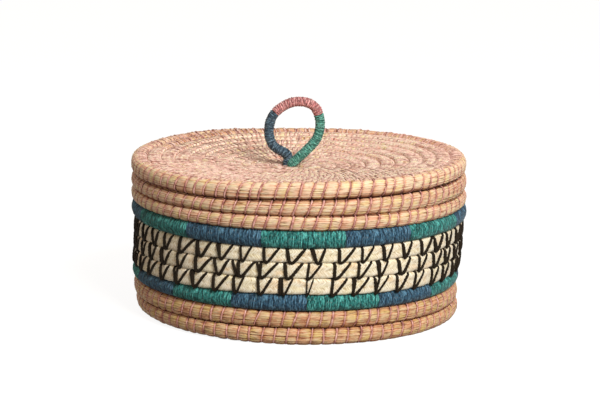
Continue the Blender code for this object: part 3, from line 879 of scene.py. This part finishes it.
DARK_STRAW = (0.56, 0.45, 0.28)
STRAW = (0.88, 0.80, 0.61)
PALE_STRAW = (0.96, 0.92, 0.78)
TOASTED = (0.98, 0.86, 0.74)
YELLOWED = (1, 0.97, 0.82)
# The last two are painted shade, in the plait's hollows and between the rows
SHADE_IN_THE_PLAIT = (0.76, 0.66, 0.50)
SHADE_BETWEEN_ROWS = (0.16, 0.10, 0.05)

cream_straw, tree, shader = new_finish("cream_straw")
place = node(tree, "ShaderNodeTexCoord").outputs["UV"]
splits = noise(tree, place, (560, 16, 1), detail=3, roughness=0.65)
patches = noise(tree, place, (45, 5, 1), detail=2)
colour = ramp(tree, splits, (0.35, DARK_STRAW), (0.46, STRAW), (0.60, PALE_STRAW))
tint = ramp(tree, patches, (0.34, TOASTED), (0.48, WHITE), (0.7, YELLOWED))
colour = mixed(tree, "MULTIPLY", 1, colour, tint)
# The painted shade in the plait and between the rows
painted_shade = node(tree, "ShaderNodeAttribute", attribute_name="painted_shade").outputs["Fac"]
shade = ramp(tree, painted_shade, (0.20, WHITE), (0.62, SHADE_IN_THE_PLAIT), (1, SHADE_BETWEEN_ROWS))
colour = mixed(tree, "MULTIPLY", 1, colour, shade)
tree.links.new(colour, shader.inputs["Base Color"])
shader.inputs["Roughness"].default_value = 0.7
shader.inputs["Specular IOR Level"].default_value = 0.3
shader.inputs["Sheen Weight"].default_value = 0.35
shader.inputs["Sheen Roughness"].default_value = 0.6
bumped(tree, shader, splits, strength=0.5, distance=0.0004)
basket_piece(cream_coil, cream_straw, "cream_straw", "cream_coil")

# The black lacing.
# A twisted black-brown cord ties each cream row to the one below with a row of leaning V's.
# Between two V's it runs inside the straw. Here and there the short stroke is doubled.

CORD_RADIUS = 0.00131
CORD_PLY = 0.0052  # length of one twist
CORD_SIDES = 8
CORD_LOBES = 0.15
CORD_UNEVEN = 0.05
CORD_ENDS = 0.6
CORD_SHADE = 3
LACING_RINGS = 40  # in a long stroke
LONG_STROKE_RUN = 0.036
DOUBLED_SHARE = 0.5
RUN_OVER = 0.03  # of a turn, past each end of a row, so that a stroke can lie across it
LACING_STRAY = 0.0009
LACING_TILT = 0.0009
LACING_SPREAD = 0.16
LACING_OFF = 0.0003
LONG_STROKE = (
    (0.0020, 72, -1.5), (0.0019, 51, -0.3), (0.0012, 30, 0.1), (0.0007, 0, 0.1),
    (0.0002, -30, 0.2), (-0.0003, -45, 0.5), (-0.0012, -50, 0.6), (-0.0026, -45, 0.5),
    (-0.0045, -28, 0.2), (-0.0067, 0, 0.1), (-0.0088, 28, 0.1), (-0.0107, 48, -0.2),
    (-0.0116, 72, -1.5),
)  # along the row, degrees up the section, and how far out in cord radii
SHORT_STROKE = (
    (0.0036, 72, -1.5), (0.0033, 50, -0.2), (0.0025, 30, 0.1), (0.0016, 0, 0.1),
    (0.0008, -30, 0.2), (-0.0002, -47, 0.3), (-0.0008, -70, -1.2),
)


def twisted_cord(name, length, rings, radius, ply, seed):
    """A straight length of two-ply cord."""
    x = np.linspace(0, length, rings)[:, None]
    angle = np.linspace(pi, -pi, CORD_SIDES + 1)
    rng = np.random.default_rng(seed)
    twist = np.cos(2 * (angle - 2 * pi * x / ply))
    lobes = 1 + CORD_LOBES * twist + rng.normal(0, CORD_UNEVEN, (rings, 1))
    lobes[[0, -1]] *= CORD_ENDS
    # Painted shade between the plies, stored on the cord; the cord finishes don't read it
    painted_shade = np.clip(1 + CORD_LOBES - lobes, 0, 1) * CORD_SHADE
    across = radius * lobes
    return rolled_up(
        name, x + 0 * angle, across * np.cos(angle), across * np.sin(angle),
        -angle / (2 * pi), painted_shade,
    )


def laced(name, stroke, row, phase, chosen, seed):
    """One stroke of lacing, copied to the chosen places on a cream row."""
    spot = wall[row]
    along_row, up_section, lift = np.array(stroke).T
    angle = np.radians(up_section)
    out = squared(angle, PLAIT_SQUARENESS)
    across = (spot.deep * out + lift * CORD_RADIUS) * np.cos(angle)
    upward = (spot.high * out + lift * CORD_RADIUS) * np.sin(angle)
    places = np.stack([along_row, across, upward], 1)
    along = run_along(places)
    fine = np.linspace(0, along[-1], LACING_RINGS)
    places = np.stack([np.interp(fine, along, places[:, i]) for i in range(3)], 1)
    for _ in range(2):
        places[1:-1] = (places[:-2] + 2 * places[1:-1] + places[2:]) / 4
    rings = round(LACING_RINGS * along[-1] / LONG_STROKE_RUN)
    cord = twisted_cord(name, run_along(places)[-1], rings, CORD_RADIUS, CORD_PLY, seed)
    lay_along(cord, places, "MINIMUM")

    start = row - 1 - LEAD
    line = line_of(wall_spot, start - RUN_OVER, start + 1 + RUN_OVER)
    first = start + ((STEP_AT - phase) / (2 * pi) - start) % (1 / LACING_COUNT)
    turns = first + np.array(chosen) / LACING_COUNT
    centres = np.interp(turns, line.turns, line.along)
    rng = np.random.default_rng(seed + 1)
    count = len(centres)
    centres = centres + rng.normal(0, LACING_STRAY, count)
    copies(cord, count)
    co = points_of(cord).reshape(count, -1, 3)
    x = co[..., 0] - np.arange(count)[:, None]
    tilt = rng.normal(0, LACING_TILT, (count, 1)) * co[..., 2] / spot.high
    x = x * rng.normal(1, LACING_SPREAD, (count, 1)) + tilt
    inward = spot.radius / (spot.radius + spot.deep)
    co[..., 0] = centres[:, None] + x * inward
    co[..., 1] += rng.uniform(0, LACING_OFF, (count, 1))
    move_points(cord, co)
    lay_along(cord, line.places)
    return cord


def cord_finish(name, scale, *fibre_colours, specular=0.5):
    """Spun fibres that twist along a cord."""
    finish, tree, shader = new_finish(name)
    place = node(tree, "ShaderNodeTexCoord").outputs["UV"]
    fibres = noise(tree, place, scale, detail=4, roughness=0.7)
    tree.links.new(ramp(tree, fibres, *fibre_colours), shader.inputs["Base Color"])
    shader.inputs["Roughness"].default_value = 0.8
    shader.inputs["Specular IOR Level"].default_value = specular
    bumped(tree, shader, fibres, strength=0.6, distance=0.0004)
    return finish


black_cord = cord_finish(
    "black_cord",
    (1200, 9, 1),
    (0.30, (0.005, 0.003, 0.0015)),
    (0.52, (0.013, 0.008, 0.0035)),
    (0.75, (0.055, 0.033, 0.014)),
    specular=0.15,
)

for i, phase in enumerate(LACING_AT):
    row = CREAM_ROW + 1 + i
    rng = np.random.default_rng(61 + i)
    every = range(LACING_COUNT)
    doubled = [k for k in every if rng.random() < DOUBLED_SHARE]
    lacing = laced(f"black_lacing_cord_{i + 1}", LONG_STROKE, row, phase, every, 71 + 4 * i)
    extra = laced("extra_strokes", SHORT_STROKE, row, phase, doubled, 73 + 4 * i)
    active(lacing)
    extra.select_set(True)
    bpy.ops.object.join()
    basket_piece(lacing, black_cord, "black_cord", f"black_lacing_{i + 1}")

# The upper wall.
# Two more turns of grass coil, bound with pink thread, make the mouth. The coil's end is
# thinned out and sewn down behind, so that the lid lies flat.

MOUTH_ROW = 6  # the lower of the two
MOUTH_END = 8.30  # with the tail behind
MOUTH_SIDES = 36, 12

wall_grass = grass_finish(
    "wall_grass",
    dark=(0.37, 0.190, 0.105),
    middle=(0.67, 0.480, 0.305),
    pale=(0.87, 0.705, 0.49),
    gold=(0.98, 0.99, 0.74),
    blush=(1, 0.81, 0.78),
)
upper_line = line_of(wall_spot, MOUTH_ROW - LEAD, MOUTH_END)
upper_wall, upper_sewn = grass_coil(
    "upper_wall_grass", upper_line, wall_spot, OUT, MOUTH_SIDES, FINE_CELL, STITCH, seed=81
)
upper_thread = thread_loops("upper_wall_thread", upper_line, wall_spot, upper_sewn, OUT, seed=82)
basket_piece(upper_wall, wall_grass, "grass", "upper_wall_coil")
basket_piece(upper_thread, pink_thread, "pink_yarn")

# The lid.
# One long coil of paler grass, wound flat from the middle and a little dished, with its last
# turn standing proud as the rim. Its stitches are closer together than on the wall.

LID_EYE = 0.0090
LID_HEAD = 0.62  # of a turn
LID_TURNS = 10
LID_SIDES = 14, 8
LID_DEEP = 0.0061
LID_HIGH = 0.0052
LID_DISH = 0.0114  # its top lies this far under the rim's in the middle
LID_STEP = 0.0012  # and this far beside the rim
DISH_CURVE = 1.8
LID_SEAT_GAP = 0.0005
LID_SQUARENESS = 6.0
LID_STITCH = 0.0048
LID_WANDER = 0.17
LID_CELL = (0, 0.25, 0.62)
# Painted shade in the lid's stitches, and in its creases above and below
LID_SHADES = 0.42, 0.30, 0.30
LID_THREAD_SQUARENESS = 8.0  # the thread bridges the creases
LID_THREAD_UNEVEN = 0.30
LID_THREAD_SUNK = 0.00042
LID_NARROW = 0.996
LID_ASIDE = 0.0015
RIM_DEEP = 0.0070
RIM_SQUARENESS = 2.7
RIM_FACE = radians(20)
RIM_INSIDE = radians(140)
RIM_TURNS = 1.30  # with its tail
# Painted shade in the rim's stitches, and in its creases above and below
RIM_SHADES = 0.70, 0.25, 1
INNER_STITCHES_TO = 0.93  # of the rim's length

lid_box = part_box("lid_coil")
rim_top = lid_box[1].z
rim_low = mouth_top + LID_SEAT_GAP
rim = Spot(lid_box[1].x - RIM_DEEP, (rim_top + rim_low) / 2, RIM_DEEP, (rim_top - rim_low) / 2)
lid_low = rim_top - LID_DISH - LID_HIGH
lid_high = rim_top - LID_STEP - LID_HIGH
lid_rows = flat_rows(
    LID_EYE, LID_TURNS, LID_DEEP, LID_HIGH, rim,
    lambda share: lid_low + (lid_high - lid_low) * share ** DISH_CURVE,
)


def lid_spot(turn):
    """The lid's turns, and the rim's thin tail outside them."""
    if turn > LID_TURNS + 1:
        inside = flat_spot(lid_rows, turn - 1)
        face_radius = rim.radius + rim.deep
        deep = (face_radius - inside.radius - inside.deep) / 2
        high = rim.high * sqrt(max(deep, TAIL_THIN) / rim.deep)
        return Spot(face_radius - deep, rim.height, deep, high)
    return flat_spot(lid_rows, turn)


lid_grass = grass_finish(
    "lid_grass",
    dark=(0.47, 0.28, 0.20),
    middle=(0.91, 0.72, 0.56),
    pale=(1, 0.93, 0.78),
    gold=(0.99, 0.98, 0.72),
    blush=(1, 0.77, 0.75),
)
rim_grass = grass_finish(
    "rim_grass",
    dark=(0.53, 0.33, 0.21),
    middle=(0.80, 0.595, 0.400),
    pale=(0.90, 0.740, 0.520),
    gold=(0.97, 0.99, 0.78),
    blush=(1, 0.87, 0.84),
)
lid_pink = thread_finish(
    "lid_pink", dark=(0.39, 0.18, 0.145), middle=(0.73, 0.455, 0.375), pale=(0.94, 0.71, 0.60)
)


def lid_piece(piece, finish, slot, *nodes):
    """The lid is laid on by hand, a little to the left, and sways with the mouth."""
    co = points_of(piece)
    co[:, 2] += mouth_sway(co)
    co[:, 0] = co[:, 0] * LID_NARROW - LID_ASIDE
    move_points(piece, co)
    finished(piece, finish, "lid", slot, *nodes)


lid_line = line_of(lid_spot, -LID_HEAD, LID_TURNS)
lid_coil, lid_sewn = grass_coil(
    "lid_grass_coil", lid_line, lid_spot, UP, LID_SIDES, LID_CELL, LID_STITCH, seed=91,
    squareness=LID_SQUARENESS, shades=LID_SHADES, wander=LID_WANDER,
)
lid_thread = thread_loops(
    "lid_thread", lid_line, lid_spot, lid_sewn, UP, seed=92,
    squareness=LID_THREAD_SQUARENESS, uneven=LID_THREAD_UNEVEN, sunk=LID_THREAD_SUNK,
)
lid_piece(lid_coil, lid_grass, "pale_grass", "lid_coil")
lid_piece(lid_thread, lid_pink, "pink_yarn")

rim_line = line_of(lid_spot, LID_TURNS, LID_TURNS + RIM_TURNS)
rim_coil, rim_sewn = grass_coil(
    "lid_rim_grass", rim_line, lid_spot, RIM_FACE, ROW_SIDES, FINE_CELL, STITCH, seed=93,
    squareness=RIM_SQUARENESS, shades=RIM_SHADES,
)
rim_thread = thread_loops(
    "lid_rim_thread", rim_line, lid_spot, rim_sewn, RIM_FACE, seed=94, squareness=RIM_SQUARENESS
)
# The lid's close stitches also show on the rim's inner side
inner_sewn = np.arange(LID_STITCH, rim_line.along[-1] * INNER_STITCHES_TO, LID_STITCH)
rim_inner_thread = thread_loops(
    "lid_rim_inner_thread", rim_line, lid_spot, inner_sewn, RIM_FACE, seed=98,
    squareness=RIM_SQUARENESS, uneven=LID_THREAD_UNEVEN, sunk=0, shown_at=RIM_INSIDE,
)
lid_piece(rim_coil, rim_grass, "pale_grass")
lid_piece(rim_thread, pink_thread, "pink_yarn")
lid_piece(rim_inner_thread, lid_pink, "pink_yarn")

# The locating ring.
# A thinner ring of the same coil is sewn under the lid with pink thread. It keeps the lid
# centred in the basket's mouth.

RING_SIDES = 16, 12
RING_ENDS_APART = 0.001  # of a turn

ring_low, ring_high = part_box("lid_locating_coil")
ring_thick = (ring_high.z - ring_low.z) / 2
ring = Spot(ring_high.x - ring_thick, (ring_high.z + ring_low.z) / 2, ring_thick, ring_thick)


def ring_spot(turn):
    """The ring is level and round all the way."""
    return ring


ring_line = line_of(ring_spot, RING_ENDS_APART, 1)
ring_coil, ring_sewn = grass_coil(
    "locating_ring_grass", ring_line, ring_spot, OUT, RING_SIDES, PLAIN_CELL, STITCH, seed=95
)
ring_thread = thread_loops("locating_ring_thread", ring_line, ring_spot, ring_sewn, OUT, seed=96)
lid_piece(ring_coil, lid_grass, "pale_grass", "lid_locating_coil")
lid_piece(ring_thread, pink_thread, "pink_yarn")

# The knot under the lid.
# The handle's cord goes down through the lid's eye. Its ends are knotted underneath, so that
# the loop can't be pulled out.

KNOT_CORD = 0.0019
KNOT_PLY = 0.007
KNOT_RINGS = 320
KNOT_HEIGHT = 0.0090
KNOT_ROUND = 3  # times round its middle
KNOT_OVER = 7  # times over and under
KNOT_POINTS = 181
KNOT_FILLED = 0.9
STEM_ASIDE = 0.0006
STEM_UNDER_TOP = 0.0002
STEM_END = 0.004  # over the knot's middle

knot_low, knot_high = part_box("handle_anchor")
knot_middle = knot_low.z + KNOT_HEIGHT / 2
wide = (knot_high.x - KNOT_CORD) / 2
tall = KNOT_HEIGHT / 2 - KNOT_CORD
share = np.linspace(0, 1, KNOT_POINTS)
turns_round = 2 * pi * KNOT_ROUND * share
turns_over = 2 * pi * KNOT_OVER * share
reach = wide + KNOT_FILLED * wide * np.cos(turns_over)
knot_places = np.stack(
    [
        reach * np.cos(turns_round),
        reach * np.sin(turns_round),
        knot_middle + tall * np.sin(turns_over),
    ],
    1,
)
stem_ends = knot_high.z - STEM_UNDER_TOP, knot_middle + STEM_END
stem = np.array([[STEM_ASIDE, 0, height] for height in stem_ends])
knot_places = np.concatenate([stem, knot_places])
knot_length = run_along(knot_places)[-1]
knot = twisted_cord("handle_knot_cord", knot_length, KNOT_RINGS, KNOT_CORD, KNOT_PLY, seed=97)
lay_along(knot, knot_places, "MINIMUM")

core_cord = cord_finish(
    "core_cord",
    (700, 9, 1),
    (0.30, (0.30, 0.18, 0.09)),
    (0.5, (0.58, 0.40, 0.23)),
    (0.7, (0.78, 0.60, 0.38)),
)
finished(knot, core_cord, "lid", "core_cord", "handle_anchor")

# The handle.
# A loop of cord, wound close with navy, pink and green yarn, stands in the lid's middle with
# its two ends side by side.

HANDLE_RADIUS = 0.0044
HANDLE_PITCH = 0.00172
HANDLE_RELIEF = 0.00044
HANDLE_SIDES = 20
ROUND = 2  # the squareness of a round section
HANDLE_ACROSS = 0.55  # of a band's girth
# What is left of the colour in the painted shade between two windings
HANDLE_VALLEY = 0.58, 0.55, 0.57
YARN_CLOSES_TO = 0.0011
SUNK_IN_LID = 0.0015
TO_THE_LEFT = 0.0009
ROOTS_APART = 0.0040  # from the hinge's middle to each end
ROOTS_PASS = 0.0022  # the navy end stands this far behind the middle, and the green one in front
PASSING = np.array((1, 1, 0.6, 0.2))  # how much of it the points from each end keep
ROOT_LONGER = 0.0020
CORE_RADIUS = 0.0024
CORE_PLY = 0.009
CORE_RINGS = 120
CORE_SHORTER = 0.003
CORE_STARTS = 0.6  # of the way down the navy root
SMOOTHINGS = 3
# Sideways and up from the hinge, for each half from its end up
LEFT_HALF = (
    (0.0000, 0.0000), (0.0003, 0.0036), (-0.0030, 0.0077), (-0.0085, 0.0106), (-0.0128, 0.0138),
    (-0.0156, 0.0186), (-0.0171, 0.0246), (-0.0170, 0.0311), (-0.0156, 0.0376), (-0.0121, 0.0437),
    (-0.0054, 0.0494), (0.0021, 0.0531), (0.0106, 0.0543),
)
RIGHT_HALF = (
    (-0.0026, 0.0000), (0.0026, 0.0050), (0.0086, 0.0106), (0.0142, 0.0165), (0.0181, 0.0226),
    (0.0201, 0.0296), (0.0203, 0.0366), (0.0188, 0.0433), (0.0159, 0.0488), (0.0106, 0.0527),
)
LAST_POINT = len(LEFT_HALF) + len(RIGHT_HALF) - 1
PINK_FROM = 9
GREEN_FROM = LAST_POINT - 7

hinge = Vector(next(j for j in frame["joints"] if j["name"] == "handle_tilt")["pos_m"])
hinge.z -= SUNK_IN_LID
hinge.x -= TO_THE_LEFT


def smoothed(points):
    """Points on a smooth curve through the given ones, with one more between each two."""
    before = np.concatenate([[2 * points[0] - points[1]], points[:-2]])
    after = np.concatenate([points[2:], [2 * points[-1] - points[-2]]])
    middles = (9 * (points[:-1] + points[1:]) - before - after) / 16
    route = np.empty((2 * len(points) - 1, 3))
    route[::2] = points
    route[1::2] = middles
    return route


route = [(hinge.x + x - ROOTS_APART, 0, hinge.z + z) for x, z in LEFT_HALF]
route += [(hinge.x + x + ROOTS_APART, 0, hinge.z + z) for x, z in RIGHT_HALF[::-1]]
route = np.array(route)
route[: len(PASSING), 1] = ROOTS_PASS * PASSING
route[-len(PASSING) :, 1] = -ROOTS_PASS * PASSING[::-1]
for _ in range(SMOOTHINGS):
    route = smoothed(route)


def root_beyond(end, inside):
    """The place that a root reaches, straight on from the route's end."""
    onward = end - inside
    return end + onward / np.linalg.norm(onward) * (HANDLE_RADIUS + ROOT_LONGER)


left_end = root_beyond(route[0], route[1])
right_end = root_beyond(route[-1], route[-2])


def handle_yarn(name, first, last, finish, slot, replaced, seed):
    """The yarn of one colour, wound on between two of the route's points."""
    fine = 2 ** SMOOTHINGS
    places = route[first * fine : last * fine + 1]
    rooted = first == 0, last == LAST_POINT
    if rooted[0]:
        places = np.concatenate([[left_end], places])
    if rooted[1]:
        places = np.concatenate([places, [right_end]])
    along = run_along(places)

    def spot_at(run):
        """The yarn closes in over each end of the cord."""
        from_end = min(
            run if rooted[0] else HANDLE_RADIUS,
            along[-1] - run if rooted[1] else HANDLE_RADIUS,
            HANDLE_RADIUS,
        )
        thick = sqrt(HANDLE_RADIUS ** 2 - (HANDLE_RADIUS - from_end) ** 2)
        thick = max(thick, YARN_CLOSES_TO)
        return Spot(0, 0, thick, thick)

    yarn = wound_coil(
        name, Line(along, places, along), spot_at, HANDLE_PITCH, HANDLE_RELIEF, HANDLE_SIDES,
        ROUND, seed, "MINIMUM",
    )
    finished(yarn, finish, "handle", slot, replaced)


handle_navy = yarn_finish(
    "handle_navy_yarn",
    dark=(0.018, 0.034, 0.052),
    middle=(0.055, 0.100, 0.138),
    pale=(0.115, 0.185, 0.235),
    hair=(0.22, 0.28, 0.32),
    across=HANDLE_ACROSS,
    valley=HANDLE_VALLEY,
)
handle_pink = yarn_finish(
    "handle_pink_yarn",
    dark=(0.36, 0.120, 0.118),
    middle=(0.49, 0.195, 0.190),
    pale=(0.62, 0.34, 0.315),
    hair=(0.75, 0.52, 0.47),
    across=HANDLE_ACROSS,
    valley=HANDLE_VALLEY,
)
handle_green = yarn_finish(
    "handle_green_yarn",
    dark=(0.020, 0.115, 0.088),
    middle=(0.066, 0.250, 0.190),
    pale=(0.150, 0.395, 0.320),
    hair=(0.32, 0.52, 0.46),
    across=HANDLE_ACROSS,
    valley=HANDLE_VALLEY,
)
handle_yarn(
    "handle_navy_yarn", 0, PINK_FROM, handle_navy, "navy_yarn", "handle_wrap_navy", seed=101
)
handle_yarn(
    "handle_pink_yarn", PINK_FROM, GREEN_FROM, handle_pink, "pink_yarn", "handle_wrap_pink",
    seed=102,
)
handle_yarn(
    "handle_green_yarn", GREEN_FROM, LAST_POINT, handle_green, "teal_yarn", "handle_wrap_green",
    seed=103,
)

whole_route = np.concatenate([[left_end], route, [right_end]])
core_length = run_along(whole_route)[-1] - CORE_SHORTER
core = twisted_cord("handle_core_cord", core_length, CORE_RINGS, CORE_RADIUS, CORE_PLY, seed=104)
core_start = left_end * CORE_STARTS + route[0] * (1 - CORE_STARTS)
lay_along(core, np.concatenate([[core_start], route, [right_end]]), "MINIMUM")
finished(core, core_cord, "handle", "core_cord", "handle_core")

# The floor, the light and the camera.
# A white floor that keeps the basket's soft shadow, a large soft lamp in front to the right,
# and a camera a little above the basket.

FLOOR_WIDE = 30
FLOOR_GREY = 0.22  # as it lights the basket
FLOOR_GLOW = 0.91  # added where the camera sees it, so that it shows white
SHADE_TINT = (1, 0.82, 0.665, 1)
SHADE_STRENGTH = 0.39
LAMP_AT = Vector((0.85, -1.65, 1.5))
LAMP_AIM = Vector((0, 0, 0.08))
LAMP_SIZE = 0.9
LAMP_POWER = 56
CAMERA_RISE = radians(10.9)
CAMERA_ROLL = radians(0.85)
CAMERA_AIM = Vector((0.0002, 0, 0.0985))
CAMERA_AWAY = 2.2
CAMERA_LENS = 147.0


def light_and_backdrop(tree, light, backdrop, end):
    """One shader lights the basket, and the camera and its reflections see the other."""
    ray = node(tree, "ShaderNodeLightPath").outputs
    seen = ray["Is Camera Ray"]
    for other in ("Is Glossy Ray", "Is Transmission Ray"):
        either = node(tree, "ShaderNodeMath", {0: seen, 1: ray[other]}, operation="MAXIMUM")
        seen = either.outputs[0]
    links = {0: seen, 1: light.outputs[0], 2: backdrop.outputs[0]}
    choice = node(tree, "ShaderNodeMixShader", links)
    tree.links.new(choice.outputs[0], tree.nodes[end].inputs["Surface"])


bpy.ops.object.select_all(action="DESELECT")
bpy.ops.mesh.primitive_plane_add(size=FLOOR_WIDE)
floor_plane = bpy.context.object
floor_plane.name = "floor"
paper, tree, shader = new_finish("white_floor")
shader.inputs["Base Color"].default_value = (*grey(FLOOR_GREY), 1)
shader.inputs["Roughness"].default_value = 0.9
shader.inputs["Specular IOR Level"].default_value = 0
glow = node(tree, "ShaderNodeEmission", {"Strength": FLOOR_GLOW})
glowing = node(tree, "ShaderNodeAddShader", {0: glow.outputs[0], 1: shader.outputs[0]})
light_and_backdrop(tree, shader, glowing, "Material Output")
floor_plane.data.materials.append(paper)

world = bpy.data.worlds.new("studio")
bpy.context.scene.world = world
world.use_nodes = True
tree = world.node_tree
soft = tree.nodes["Background"]
soft.inputs["Color"].default_value = SHADE_TINT
soft.inputs["Strength"].default_value = SHADE_STRENGTH
white = node(tree, "ShaderNodeBackground", {"Color": (*WHITE, 1), "Strength": 1})
light_and_backdrop(tree, soft, white, "World Output")

light = bpy.data.lights.new("key", "AREA")
light.size = LAMP_SIZE
light.energy = LAMP_POWER
lamp = bpy.data.objects.new("key", light)
lamp.location = LAMP_AT
lamp.rotation_euler = (LAMP_AIM - LAMP_AT).to_track_quat("-Z", "Y").to_euler()
bpy.context.scene.collection.objects.link(lamp)

lens = bpy.data.cameras.new("camera")
lens.lens = CAMERA_LENS
camera = bpy.data.objects.new("camera", lens)
camera.location = CAMERA_AIM + Vector((0, -cos(CAMERA_RISE), sin(CAMERA_RISE))) * CAMERA_AWAY
risen = Euler((pi / 2 - CAMERA_RISE, 0, 0)).to_matrix()
rolled = Euler((0, 0, CAMERA_ROLL)).to_matrix()
camera.rotation_euler = (risen @ rolled).to_euler()
bpy.context.scene.collection.objects.link(camera)
bpy.context.scene.camera = camera
bpy.context.scene.view_settings.view_transform = "Standard"
